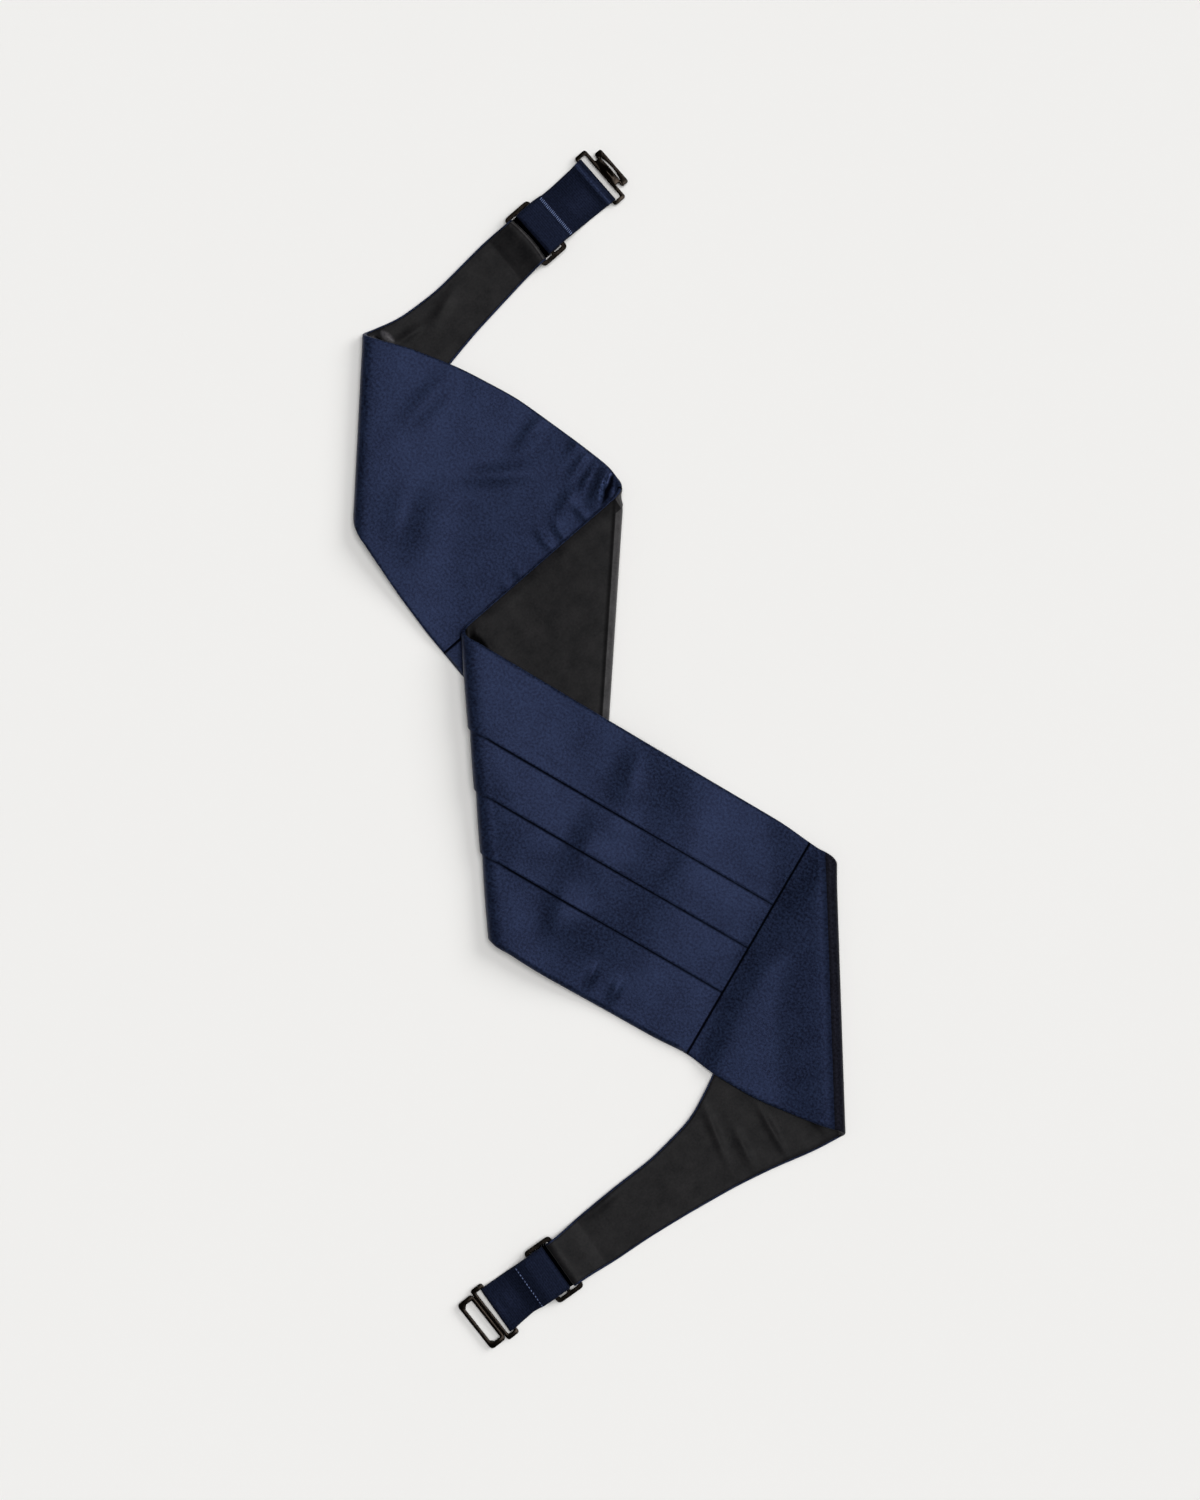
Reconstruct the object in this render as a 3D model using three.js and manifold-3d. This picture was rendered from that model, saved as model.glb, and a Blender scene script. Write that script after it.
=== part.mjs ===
// A pleated satin cummerbund, folded in a zigzag and laid flat: a pleated front between two tapering
// wings, each wing with a strap, an adjusting slider and one half of the back clasp.
// Millimetres, +Z up. The flat pattern is measured along s (towards the eye end) and across t (towards
// the upper edge of the front), from the middle of the front. Folding the pattern gives the model.

import * as THREE from 'three';
import { mergeVertices } from 'three/addons/utils/BufferGeometryUtils.js';
import Module from 'manifold-3d';

const wasm = await Module();
wasm.setup();

// Cloth
const clothWall = 1.0;
const clothGap = 0.3;
const layerGap = 0.6;
const frontLength = 312;
const frontHeight = 120.5;
const pleatStep = 0.9;
const hookWingLength = 224;
const eyeWingLength = 224;
const hookStrapWidth = 26.6;
const eyeStrapWidth = 25.6;

// Metal
const metalThickness = 1.5;
const edgeRound = 0.35;
const sliderLength = 31.2;
const sliderWidth = 15.8;
const sliderBar = 2.3;
const sliderCorner = 2.6;
const loopLength = 31.3;
const loopWidth = 7.1;
const loopNearBar = 1.4;
const loopFarBar = 1.9;
const loopCorner = 1.6;
const neckWidth = 15.7;
const neckLength = 1.8;
const headLength = 21.5;
const headWidth = 4.3;
const headCorner = 1.4;
const domeLength = 12.4;
const domeRise = 0.8;
const slitLength = 14;
const slitWidth = 0.9;
const slitBulge = 1.3;
const ringLength = 28.3;
const ringWidth = 9.5;
const ringOpeningLength = 23;
const ringOpeningWidth = 5.2;
const ringCorner = 2.4;

// Where the metal lies along each strap
const hookSliderReach = 20.8;
const hookLoopReach = 39.0;
const eyeSliderReach = 23.9;
const eyeLoopReach = 32.7;
const flapLength = 7;

// How it lies
const restHeading = THREE.MathUtils.degToRad(-30.2);
const hookStrapTurn = THREE.MathUtils.degToRad(1.4);
const eyeStrapTurn = THREE.MathUtils.degToRad(-1.2);
const eyeTurn = THREE.MathUtils.degToRad(-3);
const coverMargin = 13;
const coverRamp = 40;
const roundReach = 6;
const loftReach = 26;

const cell = 16;
const bendSteps = 6;
const seamStep = 0.5;
const fineCell = 4;
const fineSteps = 3;
const gridPerMm = 1000;

const halfLength = frontLength / 2;
const halfHeight = frontHeight / 2;
const halfCloth = clothGap / 2 + clothWall;

const colours = { satin: 0x242b43, lining: 0x272729, strap: 0x1b1d2b, metal: 0x1d1c1e };

// The edges of the pattern: how far along each part, and the edges as shares of half the front's height
const frontEdges = [
  { at: -1.0, upper: 1.048, lower: -0.986 },
  { at: -0.9, upper: 1.054, lower: -0.995 },
  { at: -0.33, upper: 1.054, lower: -1.03 },
  { at: 0.27, upper: 1.038, lower: -1.04 },
  { at: 0.45, upper: 1.034, lower: -1.062 },
  { at: 0.9, upper: 1.028, lower: -1.046 },
  { at: 1.0, upper: 1.0, lower: -1.02 },
];
const hookWingEdges = [
  { at: 0.0, upper: 1.048, lower: -0.986 },
  { at: 0.058, upper: 1.077, lower: -0.98 },
  { at: 0.165, upper: 1.001, lower: -0.945 },
  { at: 0.317, upper: 0.876, lower: -0.87 },
  { at: 0.45, upper: 0.69, lower: -0.71 },
  { at: 0.559, upper: 0.485, lower: -0.585 },
  { at: 0.646, upper: 0.272, lower: -0.497 },
  { at: 0.741, upper: 0.146, lower: -0.425 },
  { at: 0.844, upper: 0.11, lower: -0.372 },
  { at: 1.0, upper: 0.138, lower: -0.325 },
];
const eyeWingEdges = [
  { at: 0.0, upper: 1.0, lower: -1.02 },
  { at: 0.067, upper: 0.986, lower: -1.06 },
  { at: 0.179, upper: 0.888, lower: -1.065 },
  { at: 0.313, upper: 0.705, lower: -0.998 },
  { at: 0.402, upper: 0.53, lower: -0.93 },
  { at: 0.469, upper: 0.35, lower: -0.91 },
  { at: 0.579, upper: 0.07, lower: -0.83 },
  { at: 0.667, upper: -0.108, lower: -0.785 },
  { at: 0.79, upper: -0.199, lower: -0.75 },
  { at: 0.893, upper: -0.22, lower: -0.732 },
  { at: 1.0, upper: -0.259, lower: -0.734 },
];

// The free lower edge of each pleat, as a share of half the front's height, with the rows of facets in
// the band below it, as shares of that band
const pleats = [
  { edge: -0.436, rows: [0, 0.5, 1] },
  { edge: -0.01, rows: [0, 0.5, 1] },
  { edge: 0.403, rows: [0, 0.5, 1] },
];
const topBandRows = [0, 0.4, 0.75, 1];

// The folds from the hook end to the eye end. Each is a straight line between a point on the upper edge
// and one on the lower, as shares of the length it lies on, measured from start. The upper layer is the
// numbered stretch, on the eye side of the fold or on the hook side, and loft is how full the fold stays.
const folds = [
  {
    start: -halfLength, span: -hookWingLength, upper: 0.8565, lower: 0.31,
    upperLayer: 1, eyeSideUp: true, satinOut: true, loft: 3.4,
  },
  {
    start: 0, span: halfLength, upper: -0.9913, lower: -0.2272,
    upperLayer: 2, eyeSideUp: true, satinOut: false, loft: 2.4,
  },
  {
    start: 0, span: halfLength, upper: -0.2941, lower: 0.2588,
    upperLayer: 3, eyeSideUp: true, satinOut: true, loft: 3.4,
  },
  {
    start: halfLength, span: eyeWingLength, upper: 0.0703, lower: 0.4083,
    upperLayer: 3, eyeSideUp: false, satinOut: true, loft: 3.4,
  },
].map(withLine);

// The five stretches between the folds: the folds that carry each from the pattern to its place, what it
// lies on, and the cloth below and above the middle of its thickness
const stretches = [
  { turns: [0, 1, 2], restsOn: [], satinUp: false, below: halfCloth, above: halfCloth },
  { turns: [1, 2], restsOn: [0], satinUp: true, below: halfCloth, above: halfCloth + pleatStep },
  { turns: [2], restsOn: [1], satinUp: false, below: halfCloth + pleatStep, above: halfCloth },
  { turns: [], restsOn: [2, 4], satinUp: true, below: halfCloth, above: halfCloth + pleatStep },
  { turns: [3], restsOn: [], satinUp: false, below: halfCloth, above: halfCloth },
];

function withLine(fold) {
  const top = new THREE.Vector2(fold.start + fold.upper * fold.span, halfHeight);
  const foot = new THREE.Vector2(fold.start + fold.lower * fold.span, -halfHeight);
  const along = foot.clone().sub(top).normalize();
  return { ...fold, top, foot, along, across: new THREE.Vector2(-along.y, along.x) };
}

// How far past a fold a point of the pattern is, towards the eye end
function past(fold, point) {
  return point.clone().sub(fold.top).dot(fold.across);
}

function mirrored(fold, point) {
  return point.clone().addScaledVector(fold.across, -2 * past(fold, point));
}

function toPlan(stretch, point) {
  const folded = stretches[stretch].turns.reduce((spot, turn) => mirrored(folds[turn], spot), point);
  return folded.clone().rotateAround(new THREE.Vector2(), restHeading);
}

function toPattern(stretch, plan) {
  const flat = plan.clone().rotateAround(new THREE.Vector2(), -restHeading);
  return stretches[stretch].turns.reduceRight((spot, turn) => mirrored(folds[turn], spot), flat);
}

function smooth(value) {
  return THREE.MathUtils.smoothstep(value, 0, 1);
}

function fromTable(table, at, column) {
  if (at <= table[0].at) return table[0][column];
  for (let row = 1; row < table.length; row++) {
    const before = table[row - 1];
    const after = table[row];
    if (at <= after.at) {
      const share = (at - before.at) / (after.at - before.at);
      return THREE.MathUtils.lerp(before[column], after[column], share);
    }
  }
  return table.at(-1)[column];
}

function edge(s, column) {
  if (s < -halfLength) {
    return halfHeight * fromTable(hookWingEdges, (-halfLength - s) / hookWingLength, column);
  }
  if (s > halfLength) {
    return halfHeight * fromTable(eyeWingEdges, (s - halfLength) / eyeWingLength, column);
  }
  return halfHeight * fromTable(frontEdges, s / halfLength, column);
}

// How far a place in plan lies outside the outline of a stretch
function outside(stretch, plan) {
  const point = toPattern(stretch, plan);
  const over = [0, point.y - edge(point.x, 'upper'), edge(point.x, 'lower') - point.y];
  if (stretch > 0) over.push(-past(folds[stretch - 1], point));
  if (stretch < folds.length) over.push(past(folds[stretch], point));
  return Math.max(...over);
}

// The height of the middle of the cloth of a stretch over a place in plan
function heightOf(stretch, plan) {
  const { restsOn, below } = stretches[stretch];
  let carried = 0;
  for (const under of restsOn) {
    const cover = 1 - smooth((outside(under, plan) - coverMargin) / coverRamp);
    if (cover > 0) {
      const top = heightOf(under, plan) + stretches[under].above + layerGap;
      carried = Math.max(carried, cover * top);
    }
  }
  const point = toPattern(stretch, plan);
  let loft = 0;
  for (const fold of folds.filter((each) => each.upperLayer === stretch)) {
    const away = Math.abs(past(fold, point)) - roundReach;
    loft = Math.max(loft, fold.loft * (1 - smooth(away / loftReach)));
  }
  return carried + below + loft;
}

function lowerLayer(index) {
  const fold = folds[index];
  return fold.eyeSideUp ? fold.upperLayer - 1 : fold.upperLayer + 1;
}

// The round of a fold beside a point of the pattern
function roundAt(index, point) {
  const fold = folds[index];
  const side = fold.eyeSideUp ? 1 : -1;
  const foot = point.clone().addScaledVector(fold.across, -past(fold, point));
  let radius = halfCloth + pleatStep;
  let middle = 0;
  for (let pass = 0; pass < 3; pass++) {
    const inner = foot.clone().addScaledVector(fold.across, side * radius * Math.PI / 2);
    const plan = toPlan(fold.upperLayer, inner);
    const high = heightOf(fold.upperLayer, plan);
    const low = heightOf(lowerLayer(index), plan);
    radius = (high - low) / 2;
    middle = (high + low) / 2;
  }
  return { foot, side, radius, middle };
}

// The place of a point of the pattern, lifted by lift from the middle of the cloth towards the satin
function placed(s, t, lift) {
  const point = new THREE.Vector2(s, t);
  let stretch = folds.findIndex((fold) => past(fold, point) < 0);
  if (stretch < 0) stretch = folds.length;
  for (const index of [stretch - 1, stretch]) {
    if (index < 0 || index >= folds.length) continue;
    const fold = folds[index];
    const { foot, side, radius, middle } = roundAt(index, point);
    const angle = side * past(fold, point) / radius;
    if (Math.abs(angle) >= Math.PI / 2) continue;
    const arm = radius + (fold.satinOut ? lift : -lift);
    const out = arm * Math.cos(angle) - radius * Math.PI / 2;
    const spot = toPlan(fold.upperLayer, foot.addScaledVector(fold.across, -side * out));
    return new THREE.Vector3(spot.x, spot.y, middle + arm * Math.sin(angle));
  }
  const spot = toPlan(stretch, point);
  const rise = stretches[stretch].satinUp ? lift : -lift;
  return new THREE.Vector3(spot.x, spot.y, heightOf(stretch, spot) + rise);
}

// A line across the pattern, given by its places along the upper and the lower edge
function lineAt(upper, lower = upper) {
  return { upper, lower };
}

function alongLine(line, t) {
  const straight = THREE.MathUtils.mapLinear(t, -halfHeight, halfHeight, line.lower, line.upper);
  return Math.max(straight, line.least ?? straight);
}

// Lines from one to the next, close enough together for the facets, without the first
function linesTo(from, to) {
  const reach = Math.max(Math.abs(to.upper - from.upper), Math.abs(to.lower - from.lower));
  const count = Math.ceil(reach / cell);
  return Array.from({ length: count }, (_, step) => {
    const share = (step + 1) / count;
    return lineAt(
      THREE.MathUtils.lerp(from.upper, to.upper, share),
      THREE.MathUtils.lerp(from.lower, to.lower, share),
    );
  });
}

// Lines round a fold, in the order that direction gives
function linesRound(index, direction) {
  const fold = folds[index];
  const middle = fold.top.clone().lerp(fold.foot, 0.5);
  const reach = roundAt(index, middle).radius * Math.PI / 2 / fold.across.x;
  return Array.from({ length: bendSteps + 1 }, (_, step) => {
    const shift = direction * reach * (2 * step / bendSteps - 1);
    return lineAt(fold.top.x + shift, fold.foot.x + shift);
  });
}

// Keeps each line a little past the one before, where a fold runs into the hook's seam
function keptPast(seam, lines) {
  return lines.map((line, index) => ({ ...line, least: seam + index * seamStep }));
}

function frontLines() {
  const start = lineAt(-halfLength + clothGap / 2);
  const end = lineAt(halfLength - clothGap / 2);
  const hookFold = linesRound(1, 1);
  const middleFold = linesRound(2, 1);
  return keptPast(start.upper, [
    start,
    ...linesTo(start, hookFold[0]), ...hookFold.slice(1),
    ...linesTo(hookFold.at(-1), middleFold[0]), ...middleFold.slice(1),
    ...linesTo(middleFold.at(-1), end),
  ]);
}

function wingLines(side, length, foldIndex) {
  const seam = side * (halfLength + clothGap / 2);
  const fine = Array.from({ length: fineSteps + 1 }, (_, step) => lineAt(seam + side * step * fineCell));
  const end = lineAt(side * (halfLength + length));
  const fold = linesRound(foldIndex, side);
  return [...fine, ...linesTo(fine.at(-1), fold[0]), ...fold.slice(1), ...linesTo(fold.at(-1), end)];
}

// Bands of the front between the pleats' free edges, each a list of rows from its own free edge up
function frontBands() {
  const knots = [
    (s) => edge(s, 'lower'),
    ...pleats.map((pleat) => () => pleat.edge * halfHeight),
    (s) => edge(s, 'upper'),
  ];
  const rows = [...pleats.map((pleat) => pleat.rows), topBandRows];
  return rows.map((shares, band) => shares.map((share) => (s) => {
    return THREE.MathUtils.lerp(knots[band](s), knots[band + 1](s), share);
  }));
}

function frontRows() {
  return frontBands().flatMap((rows, band) => (band ? rows.slice(1) : rows));
}

// Rows across a wing, which run on from the rows of the front at the seam
function wingRows(seam) {
  const low = edge(seam, 'lower');
  const high = edge(seam, 'upper');
  return frontRows().map((row) => (s) => {
    return THREE.MathUtils.mapLinear(row(seam), low, high, edge(s, 'lower'), edge(s, 'upper'));
  });
}

function undersideOf(rows, lift) {
  return rows.map((row) => ({ row, lift, underside: true })).reverse();
}

function flatSection(rows, low, high) {
  const upper = rows.map((row) => ({ row, lift: high, underside: false }));
  return [...upper, ...undersideOf(rows, low)];
}

function pleatedSection() {
  const upper = frontBands().flatMap((rows) => rows.map((row, step) => {
    const lift = halfCloth + pleatStep * (1 - step / (rows.length - 1));
    return { row, lift, underside: false };
  }));
  return [...upper, ...undersideOf(frontRows(), clothGap / 2)];
}

// A closed body from one section repeated along lines across the pattern. Both sides of the cloth are
// split along the same diagonals, so the cloth stays as thick everywhere.
function clothGeometry(lines, section) {
  const positions = [];
  for (const line of lines) {
    for (const { row, lift } of section) {
      let t = 0;
      for (let pass = 0; pass < 24; pass++) t = row(alongLine(line, t));
      positions.push(...placed(alongLine(line, t), t, lift).toArray());
    }
  }
  const count = section.length;
  const faces = [];
  for (let line = 0; line < lines.length - 1; line++) {
    for (let corner = 0; corner < count; corner++) {
      const next = (corner + 1) % count;
      const a = line * count + corner;
      const b = line * count + next;
      if (section[corner].underside) {
        faces.push(a, b, b + count, a, b + count, a + count);
      } else {
        faces.push(a, b, a + count, b, b + count, a + count);
      }
    }
  }
  faces.push(...capFaces(section, 0, false));
  faces.push(...capFaces(section, (lines.length - 1) * count, true));
  const geometry = new THREE.BufferGeometry();
  geometry.setAttribute('position', new THREE.Float32BufferAttribute(positions, 3));
  geometry.setIndex(faces);
  return facingOut(geometry);
}

// The end of a body, with the upper side of its section joined to the underside row by row
function capFaces(section, first, flip) {
  const lastUpper = section.findIndex((corner) => corner.underside) - 1;
  const faces = [];
  let upper = 0;
  let under = section.length - 1;
  while (upper < lastUpper || under > lastUpper + 1) {
    const nextUpper = upper < lastUpper ? section[upper + 1].row(0) : Infinity;
    const nextUnder = under > lastUpper + 1 ? section[under - 1].row(0) : Infinity;
    if (nextUpper <= nextUnder) {
      faces.push([upper, upper + 1, under]);
      upper += 1;
    } else {
      faces.push([upper, under - 1, under]);
      under -= 1;
    }
  }
  return faces.flatMap(([a, b, c]) => (flip ? [a, b, c] : [a, c, b]).map((corner) => first + corner));
}

function volumeOf(geometry) {
  const position = geometry.getAttribute('position');
  const corner = [0, 1, 2].map(() => new THREE.Vector3());
  let volume = 0;
  for (let index = 0; index < geometry.index.count; index += 3) {
    corner.forEach((vertex, step) => vertex.fromBufferAttribute(position, geometry.index.getX(index + step)));
    volume += corner[0].dot(corner[1].clone().cross(corner[2])) / 6;
  }
  return volume;
}

function facingOut(geometry) {
  if (volumeOf(geometry) < 0) {
    const turned = Array.from(geometry.index.array).reverse();
    geometry.setIndex(turned);
  }
  return geometry;
}

// A geometry whose faces share their corners, which are rounded to a fine grid so that they agree
function merged(geometry) {
  const bare = geometry.clone();
  bare.deleteAttribute('normal');
  bare.deleteAttribute('uv');
  const position = bare.getAttribute('position');
  for (let index = 0; index < position.array.length; index++) {
    position.array[index] = Math.round(position.array[index] * gridPerMm) / gridPerMm;
  }
  return mergeVertices(bare, 0.5 / gridPerMm);
}

function mesh(name, geometry, colour, roughness, metalness) {
  const finish = new THREE.MeshStandardMaterial({ color: colour, roughness, metalness });
  const piece = new THREE.Mesh(geometry, finish);
  piece.name = name;
  return piece;
}

function rectangle(along, across, corner, centre = 0) {
  const left = centre - along / 2;
  const right = centre + along / 2;
  const half = across / 2;
  const shape = new THREE.Shape();
  if (corner === 0) {
    const corners = [[left, -half], [right, -half], [right, half], [left, half]];
    return shape.setFromPoints(corners.map(([x, y]) => new THREE.Vector2(x, y)));
  }
  shape.absarc(right - corner, -half + corner, corner, -Math.PI / 2, 0);
  shape.absarc(right - corner, half - corner, corner, 0, Math.PI / 2);
  shape.absarc(left + corner, half - corner, corner, Math.PI / 2, Math.PI);
  shape.absarc(left + corner, -half + corner, corner, Math.PI, Math.PI * 1.5);
  return shape;
}

function plate(shape, thickness = metalThickness) {
  return new THREE.ExtrudeGeometry(shape, {
    depth: thickness - 2 * edgeRound,
    bevelThickness: edgeRound,
    bevelSize: edgeRound,
    bevelOffset: -edgeRound,
    bevelSegments: 1,
    curveSegments: 4,
  }).translate(0, 0, edgeRound);
}

function toSolid(geometry) {
  const source = merged(geometry);
  return new wasm.Manifold(new wasm.Mesh({
    numProp: 3,
    vertProperties: new Float32Array(source.getAttribute('position').array),
    triVerts: new Uint32Array(source.index.array),
  }));
}

function toGeometry(solid) {
  const { vertProperties, triVerts } = solid.getMesh();
  const geometry = new THREE.BufferGeometry();
  geometry.setAttribute('position', new THREE.Float32BufferAttribute(vertProperties, 3));
  geometry.setIndex(Array.from(triVerts));
  return geometry;
}

// A cutter through the whole thickness of the metal
function cutter(shape) {
  const depth = 4 * metalThickness;
  const block = new THREE.ExtrudeGeometry(shape, { depth, bevelEnabled: false, curveSegments: 8 });
  return toSolid(block.translate(0, 0, -depth / 2));
}

// The slider: an outer frame and a middle bar, with a slot on each side for the strap
function sliderGeometry(strapWidth) {
  const slotWidth = (sliderWidth - 3 * sliderBar) / 2;
  let solid = toSolid(plate(rectangle(sliderWidth, sliderLength, sliderCorner)));
  for (const side of [-1, 1]) {
    const centre = side * (sliderBar + slotWidth) / 2;
    solid = solid.subtract(cutter(rectangle(slotWidth, strapWidth + 2 * clothGap, 0, centre)));
  }
  return toGeometry(solid);
}

// The strap's loop on either half of the clasp, with its near bar at the origin
function loopSolid(strapWidth) {
  const slotWidth = loopWidth - loopNearBar - loopFarBar;
  const slot = rectangle(slotWidth, strapWidth + 2 * clothGap, 0, loopNearBar + slotWidth / 2);
  return toSolid(plate(rectangle(loopWidth, loopLength, loopCorner, loopWidth / 2))).subtract(cutter(slot));
}

// The hook half of the clasp: a strap loop, a short neck and a wide head with a domed tongue, cut free
// of the head by a crescent slit
function hookGeometry() {
  const headStart = loopWidth + neckLength;
  const neck = rectangle(neckLength + loopFarBar, neckWidth, 0.4, loopWidth + neckLength / 2);
  const head = rectangle(headWidth, headLength, headCorner, headStart + headWidth / 2);
  const slitStart = headStart + headWidth * 0.3;
  const tip = slitStart + 2 * slitBulge;
  const slit = new THREE.Shape();
  slit.moveTo(slitStart, -slitLength / 2);
  slit.quadraticCurveTo(tip, 0, slitStart, slitLength / 2);
  slit.quadraticCurveTo(tip - 2 * slitWidth, 0, slitStart, -slitLength / 2);
  const domeStart = loopWidth - loopFarBar;
  const domeWidth = slitStart + slitBulge - slitWidth - domeStart;
  const dome = new THREE.SphereGeometry(0.5, 20, 8).scale(domeWidth, domeLength, 2 * domeRise);
  dome.translate(domeStart + domeWidth / 2, 0, metalThickness - edgeRound / 2);
  const solid = loopSolid(hookStrapWidth)
    .add(toSolid(plate(neck)))
    .add(toSolid(plate(head)))
    .add(toSolid(dome))
    .subtract(cutter(slit));
  return toGeometry(solid);
}

// The eye half of the clasp: a strap loop and a wide ring for the hook's head
function eyeGeometry() {
  const ringSpan = ringWidth + loopFarBar;
  const ring = rectangle(ringSpan, ringLength, ringCorner, loopWidth - loopFarBar + ringSpan / 2);
  const start = loopWidth + (ringWidth - ringOpeningWidth) / 2;
  const end = start + ringOpeningWidth;
  const cut = ringOpeningWidth / 3;
  const half = ringOpeningLength / 2;
  const opening = new THREE.Shape([
    new THREE.Vector2(start, -half),
    new THREE.Vector2(end - cut, -half),
    new THREE.Vector2(end, -half + cut),
    new THREE.Vector2(end, half - cut),
    new THREE.Vector2(end - cut, half),
    new THREE.Vector2(start, half),
  ]);
  return toGeometry(loopSolid(eyeStrapWidth).add(toSolid(plate(ring))).subtract(cutter(opening)));
}

// Heights along a strap, from the surface up: the running band, the slider's loop, the bars and what
// passes over them
const bandLevel = clothWall / 2;
const nextBand = clothWall + clothGap;
const sliderLevel = 2 * nextBand;
const clearOfBar = clothGap + clothWall / 2;
const overBars = sliderLevel + metalThickness + clearOfBar;
const clasp = nextBand;
const overClasp = clasp + metalThickness + clearOfBar;

// The path of a strap seen from its side: over and under the slider's bars, round the clasp's bar and
// back to a loop on the middle bar, whose sewn end lies on top
function strapPath({ sliderReach, loopReach, slack, width, turn }) {
  const halfSlider = sliderWidth / 2;
  const halfBar = sliderBar / 2;
  const outerSlot = halfSlider - sliderBar - clearOfBar;
  const loopSide = halfBar + clearOfBar;
  const rise = overBars - bandLevel;
  const offBar = halfSlider + 1.6;
  const onFloor = offBar + 1.7 * rise;
  const farSide = loopReach + loopNearBar + clearOfBar + slack;
  const seam = 2 * clothGap + Math.abs(Math.sin(turn)) * width / 2;
  const descent = offBar + nextBand * 0.55;
  return [
    [-sliderReach + seam, bandLevel],
    [-onFloor, bandLevel],
    [-offBar, overBars],
    [-outerSlot, overBars],
    [-outerSlot, bandLevel],
    [outerSlot, bandLevel],
    [outerSlot, overBars],
    [offBar, overBars],
    [onFloor, bandLevel],
    [farSide, bandLevel],
    [farSide, overClasp],
    [loopReach - 0.8, overClasp],
    [loopReach - 5, bandLevel + nextBand],
    [descent + 1.7 * rise, bandLevel + nextBand],
    [descent, overBars + nextBand],
    [loopSide, overBars + nextBand],
    [loopSide, bandLevel + nextBand],
    [-loopSide, bandLevel + nextBand],
    [-loopSide, overBars + 2 * nextBand],
    [descent + nextBand * 0.55, overBars + 2 * nextBand],
    [halfSlider + flapLength, overBars + 2 * nextBand - (flapLength - 3) / 1.7],
  ].map(([along, height]) => new THREE.Vector2(along, height));
}

// The outline of a band of even thickness along a path, with mitred corners
function bandOutline(path, thickness) {
  const left = [];
  const right = [];
  path.forEach((point, index) => {
    const before = path[Math.max(index - 1, 0)];
    const after = path[Math.min(index + 1, path.length - 1)];
    const arriving = index > 0 ? point.clone().sub(before) : after.clone().sub(point);
    const leaving = index < path.length - 1 ? after.clone().sub(point) : arriving.clone();
    const tangent = arriving.normalize().clone().add(leaving.normalize()).normalize();
    const side = new THREE.Vector2(-tangent.y, tangent.x);
    const stretch = thickness / 2 / Math.abs(side.dot(new THREE.Vector2(-leaving.y, leaving.x)));
    left.push(point.clone().addScaledVector(side, stretch));
    right.push(point.clone().addScaledVector(side, -stretch));
  });
  return [...left, ...right.reverse()];
}

function strapGeometry(path, width) {
  const shape = new THREE.Shape(bandOutline(path, clothWall));
  const band = new THREE.ExtrudeGeometry(shape, { depth: width, bevelEnabled: false });
  return merged(band.rotateX(Math.PI / 2).translate(0, width / 2, 0));
}

// A group that lies at the end of a wing, with its X axis running out along the strap
function tailGroup(side, stretch, length, turn) {
  const s = side * (halfLength + length);
  const start = new THREE.Vector2(s, (edge(s, 'upper') + edge(s, 'lower')) / 2);
  const ahead = new THREE.Vector2(side, 0).rotateAround(new THREE.Vector2(), turn).add(start);
  const origin = toPlan(stretch, start);
  const direction = toPlan(stretch, ahead).sub(origin);
  const group = new THREE.Group();
  group.position.set(origin.x, origin.y, 0);
  group.rotation.z = Math.atan2(direction.y, direction.x);
  return group;
}

function metalMesh(name, geometry) {
  return mesh(name, geometry, colours.metal, 0.22, 1);
}

function tail(side, stretch, length, strapName, sizes) {
  const group = tailGroup(side, stretch, length, sizes.turn);
  const strap = mesh(strapName, strapGeometry(strapPath(sizes), sizes.width), colours.strap, 0.7, 0);
  const slider = metalMesh(sizes.sliderName, sliderGeometry(sizes.width));
  strap.position.x = sizes.sliderReach;
  slider.position.set(sizes.sliderReach, 0, sliderLevel);
  group.add(strap, slider);
  return group;
}

function hookTail() {
  const group = tail(-1, 0, hookWingLength, 'hook_strap', {
    turn: hookStrapTurn,
    sliderName: 'hook_slider',
    sliderReach: hookSliderReach,
    loopReach: hookLoopReach,
    slack: 0,
    width: hookStrapWidth,
  });
  const hook = metalMesh('clasp_hook', hookGeometry());
  hook.position.set(hookSliderReach + hookLoopReach, 0, clasp);
  group.add(hook);
  return group;
}

function eyeTail() {
  const group = tail(1, 4, eyeWingLength, 'eye_strap', {
    turn: eyeStrapTurn,
    sliderName: 'eye_slider',
    sliderReach: eyeSliderReach,
    loopReach: eyeLoopReach,
    slack: Math.abs(Math.sin(eyeTurn)) * eyeStrapWidth / 2,
    width: eyeStrapWidth,
  });
  const eye = metalMesh('clasp_eye', eyeGeometry());
  eye.position.set(eyeSliderReach + eyeLoopReach, 0, clasp);
  eye.rotation.z = -eyeTurn;
  group.add(eye);
  return group;
}

function satinMesh(name, lines, section) {
  return mesh(name, clothGeometry(lines, section), colours.satin, 0.45, 0);
}

function liningMesh(name, lines, rows) {
  const section = flatSection(rows, -halfCloth, -clothGap / 2);
  return mesh(name, clothGeometry(lines, section), colours.lining, 0.75, 0);
}

const hookWing = wingLines(-1, hookWingLength, 0);
const eyeWing = wingLines(1, eyeWingLength, 3);
const frontAcross = frontLines();
const hookWingRows = wingRows(-halfLength);
const eyeWingRows = wingRows(halfLength);

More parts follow.
